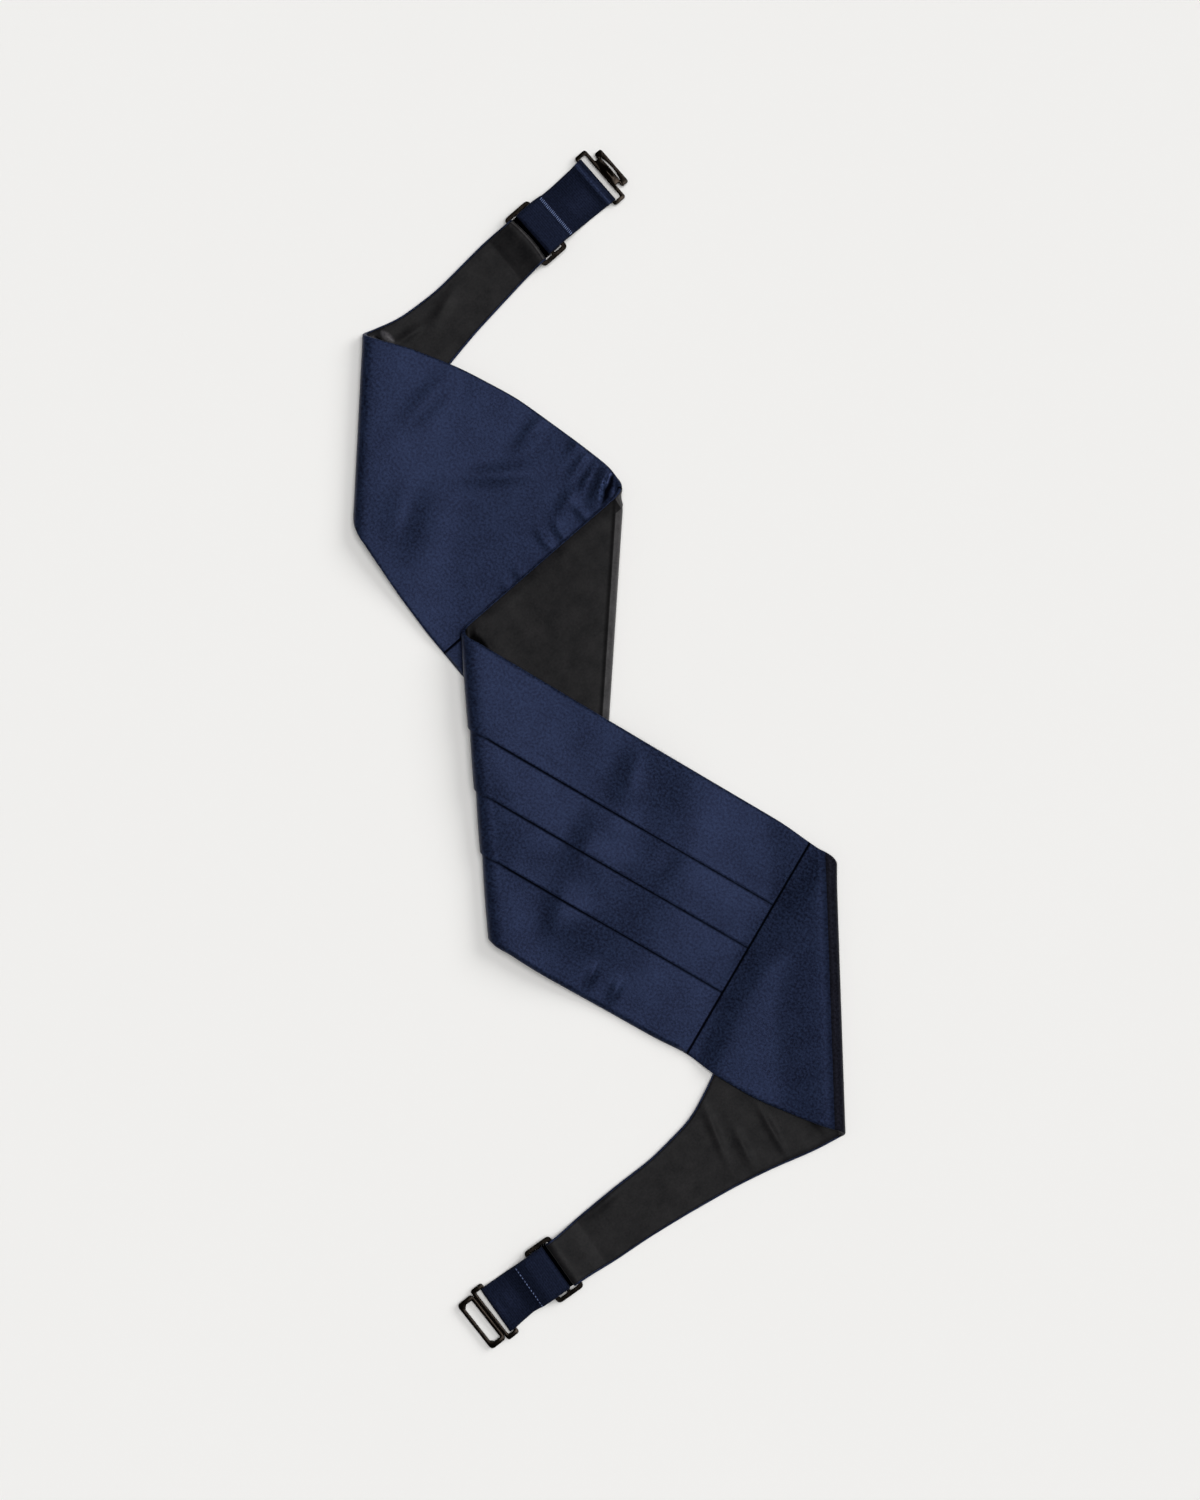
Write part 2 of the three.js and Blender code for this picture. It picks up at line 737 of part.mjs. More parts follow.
const cummerbund = new THREE.Group();
cummerbund.add(
  satinMesh('front_satin', frontAcross, pleatedSection()),
  liningMesh('front_lining', frontAcross, frontRows()),
  satinMesh('hook_wing_satin', hookWing, flatSection(hookWingRows, clothGap / 2, halfCloth)),
  liningMesh('hook_wing_lining', hookWing, hookWingRows),
  satinMesh('eye_wing_satin', eyeWing, flatSection(eyeWingRows, clothGap / 2, halfCloth)),
  liningMesh('eye_wing_lining', eyeWing, eyeWingRows),
  hookTail(),
  eyeTail(),
);

// The model's origin is under the middle of what lies on the surface
cummerbund.updateMatrixWorld(true);
const bounds = new THREE.Box3().setFromObject(cummerbund, true);
const middle = bounds.getCenter(new THREE.Vector3());
cummerbund.position.set(-middle.x, -middle.y, -bounds.min.z);

export default cummerbund;
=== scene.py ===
# A pleated navy satin cummerbund, folded in a zigzag and laid flat on a pale table, seen from above.
# The cloth is measured on its flat pattern in millimetres, s towards the eye end and t towards the upper
# edge of the front. Folding the pattern gives every point its place.
import math
import bpy
import bmesh
import numpy as np
from mathutils import Matrix, Vector


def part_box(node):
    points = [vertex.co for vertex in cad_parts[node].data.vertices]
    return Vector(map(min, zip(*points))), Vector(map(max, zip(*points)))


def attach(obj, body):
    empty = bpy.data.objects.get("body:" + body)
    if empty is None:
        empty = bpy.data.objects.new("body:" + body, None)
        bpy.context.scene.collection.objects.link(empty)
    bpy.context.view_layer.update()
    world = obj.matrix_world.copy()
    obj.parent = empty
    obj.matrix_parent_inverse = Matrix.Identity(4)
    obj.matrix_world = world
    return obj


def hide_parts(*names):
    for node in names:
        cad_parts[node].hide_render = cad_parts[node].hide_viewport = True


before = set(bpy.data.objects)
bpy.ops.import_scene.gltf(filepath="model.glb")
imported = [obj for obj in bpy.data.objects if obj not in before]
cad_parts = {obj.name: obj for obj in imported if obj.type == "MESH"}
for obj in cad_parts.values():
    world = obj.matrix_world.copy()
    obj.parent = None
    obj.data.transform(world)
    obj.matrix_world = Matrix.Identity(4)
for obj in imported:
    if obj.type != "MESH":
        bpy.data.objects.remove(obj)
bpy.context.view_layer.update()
print("loaded", len(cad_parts), "nodes")

mm = 0.001

pattern = {
    "frontLength": 312.0,
    "frontHeight": 120.5,
    "wingLength": 224.0,
    "clothWall": 1.0,
    "clothGap": 0.3,
    "layerGap": 0.6,
    "pleatStep": 0.9,
    "restHeading": math.radians(-30.2),
    "coverMargin": 13.0,
    "coverRamp": 40.0,
    "roundReach": 6.0,
    "loftReach": 50.0,
    "edgeBlur": 5.0,
    "carriedBlur": 2.0,
    "columnStep": 1.5,
    "tailColumnStep": 0.8,
    "roundSteps": 26,
    "roundSpare": 0.8,
    "lineSpare": 1.0,
    "leastRadius": 1.3,
    "foldReach": 22.0,
    "shoulderPower": 1.5,
    "seamInset": 0.06,
    "leastStep": 0.07,
    "gridStep": 2.0,
    "gridAcross": (-90.0, 212.0),
    "gridAlong": (-310.0, 352.0),
}
halfLength = pattern["frontLength"] / 2
halfHeight = pattern["frontHeight"] / 2
halfCloth = pattern["clothGap"] / 2 + pattern["clothWall"]
pleatStep = pattern["pleatStep"]

# How far along each part, and its upper and lower edge as shares of half the front's height
frontEdges = [
    (-1.0, 1.048, -0.986), (-0.9, 1.054, -0.995), (-0.33, 1.054, -1.03), (0.27, 1.038, -1.04),
    (0.45, 1.034, -1.062), (0.9, 1.028, -1.046), (1.0, 1.0, -1.02),
]
hookWingEdges = [
    (0.0, 1.048, -0.986), (0.058, 1.077, -0.98), (0.165, 1.001, -0.945), (0.317, 0.876, -0.87),
    (0.45, 0.69, -0.71), (0.559, 0.485, -0.585), (0.646, 0.272, -0.497), (0.741, 0.146, -0.425),
    (0.844, 0.11, -0.372), (1.0, 0.138, -0.325), (1.06, 0.126, -0.313), (1.15, 0.124, -0.311),
]
eyeWingEdges = [
    (0.0, 1.0, -1.02), (0.067, 0.986, -1.06), (0.179, 0.888, -1.065), (0.313, 0.705, -0.998),
    (0.402, 0.53, -0.93), (0.469, 0.35, -0.91), (0.579, 0.07, -0.83), (0.667, -0.108, -0.785),
    (0.79, -0.199, -0.75),
    (0.893, -0.22, -0.732), (1.0, -0.259, -0.734), (1.05, -0.284, -0.71), (1.15, -0.288, -0.706),
]
pleatEdges = [-0.436 * halfHeight, -0.01 * halfHeight, 0.403 * halfHeight]

# Each fold is a straight line between its places on the upper and the lower edge
folds = [
    {"start": -halfLength, "span": -pattern["wingLength"], "upper": 0.8565, "lower": 0.31,
     "upperLayer": 1, "lowerLayer": 0, "side": 1, "satinOut": 1, "loft": 3.6, "broad": 5.5},
    {"start": 0.0, "span": halfLength, "upper": -0.9913, "lower": -0.2272,
     "upperLayer": 2, "lowerLayer": 1, "side": 1, "satinOut": -1, "loft": 1.4, "broad": 5.5},
    {"start": 0.0, "span": halfLength, "upper": -0.2941, "lower": 0.2588,
     "upperLayer": 3, "lowerLayer": 2, "side": 1, "satinOut": 1, "loft": 3.6, "broad": 7.0},
    {"start": halfLength, "span": pattern["wingLength"], "upper": 0.0703, "lower": 0.4083,
     "upperLayer": 3, "lowerLayer": 4, "side": -1, "satinOut": 1, "loft": 2.8, "broad": 8.0,
     "reach": 30.0},
]
for fold in folds:
    fold["top"] = np.array([fold["start"] + fold["upper"] * fold["span"], halfHeight])
    fold["foot"] = np.array([fold["start"] + fold["lower"] * fold["span"], -halfHeight])
    along = fold["foot"] - fold["top"]
    along = along / np.hypot(*along)
    fold["across"] = np.array([-along[1], along[0]])

# The five stretches of cloth between the folds, with what each lies on
stretches = [
    {"turns": [0, 1, 2], "restsOn": [], "satinUp": -1, "below": halfCloth, "above": halfCloth},
    {"turns": [1, 2], "restsOn": [0], "satinUp": 1, "below": halfCloth, "above": halfCloth + pleatStep},
    {"turns": [2], "restsOn": [1], "satinUp": -1, "below": halfCloth + pleatStep, "above": halfCloth,
     "margin": 12.0, "ramp": 62.0},
    {"turns": [], "restsOn": [2, 4], "satinUp": 1, "below": halfCloth, "above": halfCloth + pleatStep},
    {"turns": [3], "restsOn": [], "satinUp": -1, "below": halfCloth, "above": halfCloth, "margin": 0.0,
     "ramp": 11.0},
]

# Soft ridges and hollows where the cloth doesn't lie quite flat: the stretch, the middle in millimetres on
# the table, the heading of its length, half its length, half its width and how high it stands. Some have
# another half width for the right side where they trail off, or a painted shade for where little light
# reaches; a shade below 0 is a painted highlight
dentKeys = ("stretch", "at", "heading", "long", "wide", "high")
dents = [dict(zip(dentKeys, values), **more) for *values, more in [
    (3, (19, -14), 67, 17, 9, 2.4, {"trail": 24}),
    (3, (-5, -49), 66, 15, 9, 2.3, {"trail": 24}),
    (3, (-19, -84), 76, 14, 8, 2.1, {"trail": 20}),
    (3, (-4, -113), 60, 6, 2.6, 1.0, {}),
    (3, (8, -121), 60, 6, 2.6, 1.0, {}),
    (3, (35, -55), 60, 9, 5, 0.5, {}),
    (3, (-24, -3), -30, 9, 2.2, 0.25, {}),
    (3, (84, -113), 55, 18, 6, 0.8, {}),
    (1, (-86, 173), 48, 17, 6.5, 1.2, {}),
    (1, (-50, 137), 4, 18, 5, 1.2, {}),
    (1, (-97, 115), 75, 16, 9, 1.7, {}),
    (1, (-34, 158), 50, 9, 3.6, 0.9, {}),
    (1, (-10, 153), 50, 8, 3, 0.8, {}),
    (1, (-16, 123), 60, 8, 3.5, 0.9, {}),
    (1, (-6.0, 134), 60, 6, 2, 0.8, {}),
    (1, (-10, 142), 55, 7, 2.2, 0.8, {}),
    (1, (-9, 118), 130, 6, 2, 0.7, {}),
    (1, (-19, 108), 125, 6, 2, 0.7, {}),
    (1, (-27, 104), 130, 6, 2, 0.7, {}),
    (1, (-38, 84), 120, 7, 2.2, 0.7, {}),
    (1, (-44, 77), 125, 6, 2, 0.6, {}),
    # Painted shade in the tuck and beside it, and painted highlights on its rims
    (1, (4.1, 130), 70, 8.5, 2.3, -1.9, {"shade": 1.0}),
    (1, (3.0, 130.0), 65, 12, 8, 2.1, {}),
    (1, (3.6, 133.8), 58, 5, 1.1, 0.8, {"shade": -1.5}),
    (1, (1.2, 127.4), 82, 5, 1.1, 0.8, {"shade": -1.5}),
    (1, (-2.6, 132.5), 68, 9, 2.2, -0.6, {"shade": 0.35}),
    # Painted shade in the hollow where the front's upper edge meets the third fold
    (2, (-61.5, 55.0), -38, 8, 2.2, -0.5, {"shade": 1.0}),
    # Painted highlights on the lining's crumples, with painted shade beside them
    (0, (-105.8, 205.8), -42, 4.5, 1.9, 0.9, {"shade": -5.0}),
    (0, (-112.8, 205.0), -20, 2.2, 1.2, 0.5, {"shade": -5.0}),
    (0, (-109.6, 203.8), -50, 3.5, 1.2, 0.0, {"shade": 0.9}),
    (0, (-96, 206), 35, 9, 2.2, 0.7, {}),
    (0, (-78, 220), 60, 10, 3.0, 0.7, {}),
    (4, (2, -227), 40, 10, 2.4, 0.9, {}),
    (4, (58, -192), 112, 13, 2.0, 0.8, {}),
    (4, (86, -190), 120, 11, 1.8, 0.9, {}),
    (4, (72, -199), 115, 9, 2.4, 0.7, {}),
    (4, (109, -186), 135, 5, 1.8, 0.9, {}),
]]

# Where a corner of the folded cloth is pinched out of the straight: the place, the reach and the move
pulls = [{"at": (10.5, 133.0), "reach": 8.0, "by": (-1.6, 1.4)}]


def smoothStep(value):
    value = np.clip(value, 0, 1)
    return value * value * (3 - 2 * value)


def blurred(values, sigma, axis=0):
    reach = int(math.ceil(3 * sigma))
    weights = np.exp(-0.5 * (np.arange(-reach, reach + 1) / sigma) ** 2)
    weights /= weights.sum()
    padding = [(0, 0)] * values.ndim
    padding[axis] = (reach, reach)
    wide = np.pad(values, padding, mode="edge")
    result = np.zeros_like(values)
    for step, weight in enumerate(weights):
        window = [slice(None)] * values.ndim
        window[axis] = slice(step, step + values.shape[axis])
        result += weight * wide[tuple(window)]
    return result


edgeS = np.arange(-430.0, 431.0, 1.0)


def edgeLine(column, blur):
    s, values = [], []
    for share, *heights in reversed(hookWingEdges[1:]):
        s.append(-halfLength - share * pattern["wingLength"])
        values.append(heights[column])
    for share, *heights in frontEdges:
        s.append(share * halfLength)
        values.append(heights[column])
    for share, *heights in eyeWingEdges[1:]:
        s.append(halfLength + share * pattern["wingLength"])
        values.append(heights[column])
    line = np.interp(edgeS, s, values) * halfHeight
    return blurred(line, blur) if blur else line


upperLine = edgeLine(0, pattern["edgeBlur"])
lowerLine = edgeLine(1, pattern["edgeBlur"])


def upperEdge(s):
    return np.interp(s, edgeS, upperLine)


def lowerEdge(s):
    return np.interp(s, edgeS, lowerLine)


def turned(points, angle):
    c, n = math.cos(angle), math.sin(angle)
    return np.stack([points[..., 0] * c - points[..., 1] * n, points[..., 0] * n + points[..., 1] * c], -1)


def pastFold(fold, points):
    return (points - fold["top"]) @ fold["across"]


def mirrored(fold, points):
    return points - 2 * pastFold(fold, points)[..., None] * fold["across"]


def toPlan(stretch, points):
    for index in stretches[stretch]["turns"]:
        points = mirrored(folds[index], points)
    return turned(points, pattern["restHeading"])


def toPattern(stretch, plan):
    points = turned(plan, -pattern["restHeading"])
    for index in reversed(stretches[stretch]["turns"]):
        points = mirrored(folds[index], points)
    return points


def outside(stretch, plan):
    points = toPattern(stretch, plan)
    s, t = points[..., 0], points[..., 1]
    over = np.maximum(np.maximum(t - upperEdge(s), lowerEdge(s) - t), 0)
    if stretch > 0:
        over = np.maximum(over, -pastFold(folds[stretch - 1], points))
    if stretch < len(folds):
        over = np.maximum(over, pastFold(folds[stretch], points))
    return over


gridStep = pattern["gridStep"]
gridX = np.arange(*pattern["gridAcross"], gridStep)
gridY = np.arange(*pattern["gridAlong"], gridStep)
gridPlan = np.stack(np.meshgrid(gridX, gridY, indexing="ij"), -1)
carried = {}


def loftAt(stretch, plan):
    points = toPattern(stretch, plan)
    loft = np.zeros(points.shape[:-1])
    for fold in folds:
        if fold["upperLayer"] == stretch:
            away = np.abs(pastFold(fold, points)) - pattern["roundReach"]
            reach = fold.get("reach", pattern["loftReach"])
            loft = np.maximum(loft, fold["loft"] * (1 - smoothStep(away / reach)))
    return loft


for layer in [0, 4, 1, 2, 3]:
    held = np.zeros(gridPlan.shape[:-1])
    for under in stretches[layer]["restsOn"]:
        margin = stretches[under].get("margin", pattern["coverMargin"])
        ramp = stretches[under].get("ramp", pattern["coverRamp"])
        cover = 1 - smoothStep((outside(under, gridPlan) - margin) / ramp)
        top = (carried[under] + stretches[under]["below"] + loftAt(under, gridPlan)
               + stretches[under]["above"] + pattern["layerGap"])
        held = np.maximum(held, cover * top)
    blur = pattern["carriedBlur"]
    carried[layer] = blurred(blurred(held, blur, 0), blur, 1)

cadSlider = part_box("eye_slider")


def tailPlace(side, stretch, turn):
    s = side * (halfLength + pattern["wingLength"])
    middle = (np.interp(s, edgeS, edgeLine(0, 0)) + np.interp(s, edgeS, edgeLine(1, 0))) / 2
    start = np.array([s, middle])
    ahead = start + turned(np.array([float(side), 0.0]), turn)
    origin = toPlan(stretch, start)
    direction = toPlan(stretch, ahead) - origin
    angle = math.atan2(direction[1], direction[0])
    upward = turned(toPlan(stretch, start + np.array([0.0, 1.0])) - origin, -angle)
    return {"origin": origin, "angle": angle, "middle": middle, "flip": math.copysign(1, upward[1])}


straps = {
    "hook": {"side": -1, "stretch": 0, "turn": math.radians(1.4), "width": 26.6, "sliderReach": 20.8,
             "loopReach": 39.0, "crestLight": 3.0, "slack": 0.0, "crest": 5.5, "bow": 1.2, "flapLength": 5.8,
             "halves": [(9.0, 12.4, 13.0), (16.0, 12.4, 12.4), (25.0, 12.5, 12.6), (34.0, 12.9, 12.9),
                        (40.0, 13.3, 13.3)]},
    "eye": {"side": 1, "stretch": 4, "turn": math.radians(-1.2), "width": 25.6, "sliderReach": 23.9,
            "loopReach": 32.7, "crestLight": 0.0, "slack": 0.67, "crest": 4.5, "bow": 0.0, "flapLength": 8.0,
            "halves": [(5.0, 13.0, 12.1), (14.0, 12.9, 12.0), (20.0, 12.9, 11.5), (27.0, 12.9, 12.2),
                       (33.0, 13.0, 12.8)]},
}
for strap in straps.values():
    strap.update(tailPlace(strap["side"], strap["stretch"], strap["turn"]))

# The model's origin is under the middle of it, so the pattern is moved by as much as the slider shows
sliderMiddle = (cadSlider[0] + cadSlider[1]) / 2 / mm
eyeStrap = straps["eye"]
sliderOut = turned(np.array([eyeStrap["sliderReach"], 0.0]), eyeStrap["angle"])
shift = np.array([sliderMiddle[0], sliderMiddle[1]]) - eyeStrap["origin"] - sliderOut
print("pattern moved by", shift.round(2).tolist())


def roundedPath(corners, reach, step):
    points = [Vector(corners[0])]
    for index in range(1, len(corners) - 1):
        here = Vector(corners[index])
        before = Vector(corners[index - 1]) - here
        after = Vector(corners[index + 1]) - here
        back = min(reach, before.length * 0.48)
        ahead = min(reach, after.length * 0.48)
        start = here + before.normalized() * back
        end = here + after.normalized() * ahead
        straight = start - points[-1]
        for each in range(1, int(straight.length / step)):
            points.append(points[-1] + straight.normalized() * step)
        for share in (0, 0.25, 0.5, 0.75, 1):
            points.append((1 - share) ** 2 * start + 2 * share * (1 - share) * here + share ** 2 * end)
    last = Vector(corners[-1])
    straight = last - points[-1]
    count = max(1, int(straight.length / step))
    points += [points[-1] + straight * (each / count) for each in range(1, count + 1)]
    kept = [points[0]]
    for point in points[1:]:
        if (point - kept[-1]).length > 0.05:
            kept.append(point)
    return kept


tail = {"start": 1.0, "barTop": 5.1, "topLength": 3.2, "slotLevel": 1.4, "slotReach": 0.4,
        "cornerRound": 1.6, "step": 0.6, "thinning": 0.35, "thinReach": 8, "leanReach": 6, "bowHalf": 13,
        "bowFrom": 4, "bowReach": 8}


def tailPath(strap):
    crest = strap["sliderReach"] - strap["crest"]
    corners = [(0.0, halfCloth), (tail["start"], halfCloth), (crest - tail["topLength"], tail["barTop"]),
               (crest, tail["barTop"]), (crest + tail["slotReach"], tail["slotLevel"])]
    path = np.array([tuple(point) for point in roundedPath(corners, tail["cornerRound"], tail["step"])])
    steps = np.hypot(*np.diff(path, axis=0).T)
    travelled = np.concatenate([[0], np.cumsum(steps)])
    tangents = np.gradient(path, axis=0)
    tangents /= np.hypot(*tangents.T)[:, None]
    return path, travelled, np.stack([-tangents[:, 1], tangents[:, 0]], -1)


for strap in straps.values():
    strap["tail"] = tailPath(strap)


def dentAt(stretch, plan):
    rise = np.zeros(plan.shape[:-1])
    for dent in dents:
        if dent["stretch"] != stretch:
            continue
        away = turned(plan + shift - np.array(dent["at"], float), -math.radians(dent["heading"]))
        wide = np.where(away[..., 1] > 0, dent["wide"], dent.get("trail", dent["wide"]))
        rise += dent["high"] * np.exp(-(away[..., 0] / dent["long"]) ** 2 - (away[..., 1] / wide) ** 2)
    return rise


def heightAt(stretch, plan):
    x = np.clip((plan[..., 0] - gridX[0]) / gridStep, 0, len(gridX) - 1.001)
    y = np.clip((plan[..., 1] - gridY[0]) / gridStep, 0, len(gridY) - 1.001)
    i, j = x.astype(int), y.astype(int)
    u, v = x - i, y - j
    grid = carried[stretch]
    low = grid[i, j] * (1 - v) + grid[i, j + 1] * v
    high = grid[i + 1, j] * (1 - v) + grid[i + 1, j + 1] * v
    support = low * (1 - u) + high * u
    return support + stretches[stretch]["below"] + loftAt(stretch, plan) + dentAt(stretch, plan)


def roundAt(fold, points):
    foot = points - pastFold(fold, points)[..., None] * fold["across"]
    radius = np.full(points.shape[:-1], halfCloth + pleatStep)
    for _ in range(3):
        under = radius * math.pi / 2
        over = radius * (math.pi / 2 - 1) + np.maximum(fold["broad"], radius)
        heights = []
        for layer, inward in ((fold["upperLayer"], over), (fold["lowerLayer"], under)):
            inner = foot + (fold["side"] * inward)[..., None] * fold["across"]
            heights.append(heightAt(layer, toPlan(fold["upperLayer"], inner)))
        high, low = heights
        radius = np.maximum((high - low) / 2, pattern["leastRadius"])
        middle = (high + low) / 2
    return foot, radius, middle


def stretchOf(points):
    stretch = np.full(points.shape[:-1], len(folds))
    for index in reversed(range(len(folds))):
        stretch = np.where(pastFold(folds[index], points) < 0, index, stretch)
    return stretch


# The place of points of the pattern, lifted from the middle of the cloth towards the satin
def placed(s, t, lift):
    points = np.stack([s, t], -1)
    stretch = stretchOf(points)
    result = np.zeros(s.shape + (3,))
    for index, facts in enumerate(stretches):
        here = stretch == index
        if here.any():
            spot = toPlan(index, points[here])
            result[here, :2] = spot
            result[here, 2] = heightAt(index, spot) + facts["satinUp"] * lift[here]
    done = np.zeros(s.shape, bool)
    for index, fold in enumerate(folds):
        near = ((stretch == index) | (stretch == index + 1)) & ~done
        near &= np.abs(pastFold(fold, points)) < pattern["foldReach"]
        if not near.any():
            continue
        foot, radius, middle = roundAt(fold, points[near])
        inward = fold["side"] * pastFold(fold, points[near])
        wide = np.where(inward > 0, np.maximum(fold["broad"], radius), radius)
        flatFrom = radius * (math.pi / 2 - 1) + wide
        angle = inward / flatFrom * math.pi / 2
        bent = np.abs(angle) < math.pi / 2
        outX, outZ = radius * np.cos(angle), wide * np.sin(angle)
        size = np.hypot(outX, outZ)
        away = fold["satinOut"] * lift[near]
        inset = flatFrom - wide * np.cos(angle) - away * outX / size
        eased = 1 - np.abs(1 - np.sin(angle)) ** pattern["shoulderPower"]
        shoulder = np.where(inward > 0, eased, np.sin(angle))
        high = middle + radius * shoulder + away * outZ / size
        spot = toPlan(fold["upperLayer"], foot + (fold["side"] * inset)[..., None] * fold["across"])
        rows = np.argwhere(near)[bent]
        result[tuple(rows.T)] = np.concatenate([spot, high[..., None]], -1)[bent]
        done[tuple(rows.T)] = True
    for strap in straps.values():
        beyond = strap["side"] * s - halfLength - pattern["wingLength"]
        here = beyond > 0
        if here.any():
            result[here] = onTail(strap, beyond[here], t[here], lift[here])
    result[..., :2] += shift
    for pull in pulls:
        away = np.hypot(*(result[..., :2] - np.array(pull["at"], float)).transpose(2, 0, 1))
        result[..., :2] += np.exp(-(away / pull["reach"]) ** 2)[..., None] * np.array(pull["by"])
    return result


# The tail's cloth runs on to the slider, over its near bar and down into the slot
def onTail(strap, beyond, t, lift):
    path, travelled, normals = strap["tail"]
    x = np.interp(beyond, travelled, path[:, 0])
    z = np.interp(beyond, travelled, path[:, 1])
    aside = np.interp(beyond, travelled, normals[:, 0])
    up = np.interp(beyond, travelled, normals[:, 1])
    thin = 1 - tail["thinning"] * smoothStep(beyond / tail["thinReach"])
    y = (t - strap["middle"]) * strap["flip"]
    lean = math.tan(strap["turn"]) * strap["flip"] * (1 - smoothStep(beyond / tail["leanReach"]))
    bow = strap["bow"] * (1 - (y / tail["bowHalf"]) ** 2)
    bow = bow * smoothStep((beyond - tail["bowFrom"]) / tail["bowReach"])
    x = x + y * lean + bow - lift * thin * aside
    plan = strap["origin"] + turned(np.stack([x, y], -1), strap["angle"])
    return np.concatenate([plan, (z - lift * thin * up)[..., None]], -1)


# Lines across the pattern, from one to the next, each with its places on the upper and the lower edge
def linesTo(start, end, step):
    count = max(1, math.ceil(max(abs(end[0] - start[0]), abs(end[1] - start[1])) / step))
    shares = np.arange(1, count + 1) / count
    return [(start[0] + share * (end[0] - start[0]), start[1] + share * (end[1] - start[1]))
            for share in shares]


def linesRound(fold, direction):
    middle = (fold["top"] + fold["foot"]) / 2
    radius = roundAt(fold, middle[None])[1][0] + pattern["roundSpare"]
    length = radius * (math.pi / 2 - 1) + max(radius, fold["broad"]) + pattern["lineSpare"]
    reach = length / fold["across"][0]
    steps = pattern["roundSteps"]
    shifts = direction * reach * (2 * np.arange(steps + 1) / steps - 1)
    return [(fold["top"][0] + each, fold["foot"][0] + each) for each in shifts]


def endLines(start, direction):
    return [(start + direction * step, start + direction * step) for step in (0, 0.12, 0.35, 0.8)]


seamAt = halfLength + 0.03


def frontColumns():
    step = pattern["columnStep"]
    begin = pattern["seamInset"] - seamAt
    lines = endLines(begin, 1)
    for fold in (folds[1], folds[2]):
        bend = linesRound(fold, 1)
        lines += linesTo(lines[-1], bend[0], step) + bend[1:]
    finish = endLines(-begin, -1)[::-1]
    lines += linesTo(lines[-1], finish[0], step) + finish[1:]
    least = begin + pattern["leastStep"] * np.arange(len(lines))
    return np.array(lines), least


def wingColumns(side, fold):
    step = pattern["columnStep"]
    lines = endLines(side * seamAt, side)
    bend = linesRound(fold, side)
    lines += linesTo(lines[-1], bend[0], step) + bend[1:]
    reach = straps["hook" if side < 0 else "eye"]["tail"][1][-1]
    finish = endLines(side * (halfLength + pattern["wingLength"] + reach), -side)[::-1]
    edge = side * (halfLength + pattern["wingLength"])
    lines += linesTo(lines[-1], (edge, edge), step)
    lines += linesTo(lines[-1], finish[0], pattern["tailColumnStep"]) + finish[1:]
    return np.array(lines)


knots = [lowerEdge] + [lambda s, edge=edge: np.full(s.shape, edge) for edge in pleatEdges] + [upperEdge]

satinCloth = {
    "width": 120,
    "bandWidths": (36, 26, 25, 38),
    "hem": 0.8,
    "liningInset": 0.15,
    "liningStep": 2.0,
    "rowStep": 1.3,
    "underStep": 4.0,
    "lipDepth": 1.5,
    "lipRise": 0.38,
    "puff": 0.25,
}


# A row of a section: the knots it lies between, its share of the way, a step in millimetres, its lift,
# how far it follows the opening of a pleat and its painted shade
def row(low, high, share, offset, lift, pleat=None, follow=0.0, shade=0.0):
    return {"low": low, "high": high, "share": share, "offset": offset, "lift": lift,
            "pleat": pleat, "follow": follow, "shade": shade}


def hemRows(knot, inward, hem):
    around = [(hem + 0.05, 0.12), (hem, -1.0), (0.42, -1.04), (0.12, -0.78), (0.0, -0.25), (0.02, 0.3),
              (0.14, 0.74), (0.42, 1.03)]
    return [row(knot, knot, 0, inward * step, lift) for step, lift in around]


def underRows(low, high, width, lift, step):
    count = max(2, round(width / step))
    return [row(low, high, share, 0, lift) for share in np.linspace(1, 0, count + 1)[1:-1]]


def satinSection(pleated):
    look = satinCloth
    top = halfCloth
    rows = hemRows(0, 1, look["hem"])
    widths = look["bandWidths"] if pleated else [look["width"]]
    bands = [(0, 1), (1, 2), (2, 3), (3, 4)] if pleated else [(0, 4)]
    for band, ((low, high), width) in enumerate(zip(bands, widths)):
        count = round(width / look["rowStep"])
        for step in range(1, count):
            share = step / count
            rise = pleatStep * (1 - share) + look["puff"] * math.sin(math.pi * share) if pleated else 0
            follow = (1 - share) ** 3 if band > 0 else 0
            rows.append(row(low, high, share, 0, top + rise, band, follow))
        if pleated and band < 3:
            depth = look["lipDepth"]
            under = top + look["lipRise"]
            # Each step: its offset, its lift, how far it follows the opening, and its painted shade, the
            # painted shadow under the pleat's lip
            into = [(-0.6, top + 0.03, 0, 0.3), (-0.25, top + 0.02, 0, 1), (depth, top - 0.05, 0, 1)]
            out = [(depth, under, 0.6, 1), (0.25, under, 1, 1), (0.02, under + 0.14, 1, 0.9),
                   (0.05, top + pleatStep - 0.12, 1, 0.6), (0.3, top + pleatStep + 0.02, 1, 0.0)]
            for pleat, profile in ((band, into), (band + 1, out)):
                rows += [row(high, high, 0, offset, lift, pleat, follow, shade)
                         for offset, lift, follow, shade in profile]
    rows += hemRows(4, -1, look["hem"])[::-1]
    split = len(rows)
    rows += underRows(0, 4, look["width"], pattern["clothGap"] / 2, look["underStep"])
    return rows, split


def liningSection():
    look = satinCloth
    inset = look["hem"] + look["liningInset"]
    around = [(0.1, -0.2), (0.0, -0.6), (0.1, -0.98), (0.45, -1.15)]
    lower = [row(0, 0, 0, inset + step, lift) for step, lift in around]
    upper = [row(4, 4, 0, -(inset + step), lift) for step, lift in around]
    count = round(look["width"] / look["liningStep"])
    between = [row(0, 4, step / count, 0, -halfCloth) for step in range(3, count - 2)]
    rows = lower + between + upper[::-1]
    split = len(rows)
    rows += underRows(0, 4, look["width"], -pattern["clothGap"] / 2, look["underStep"])
    return rows, split


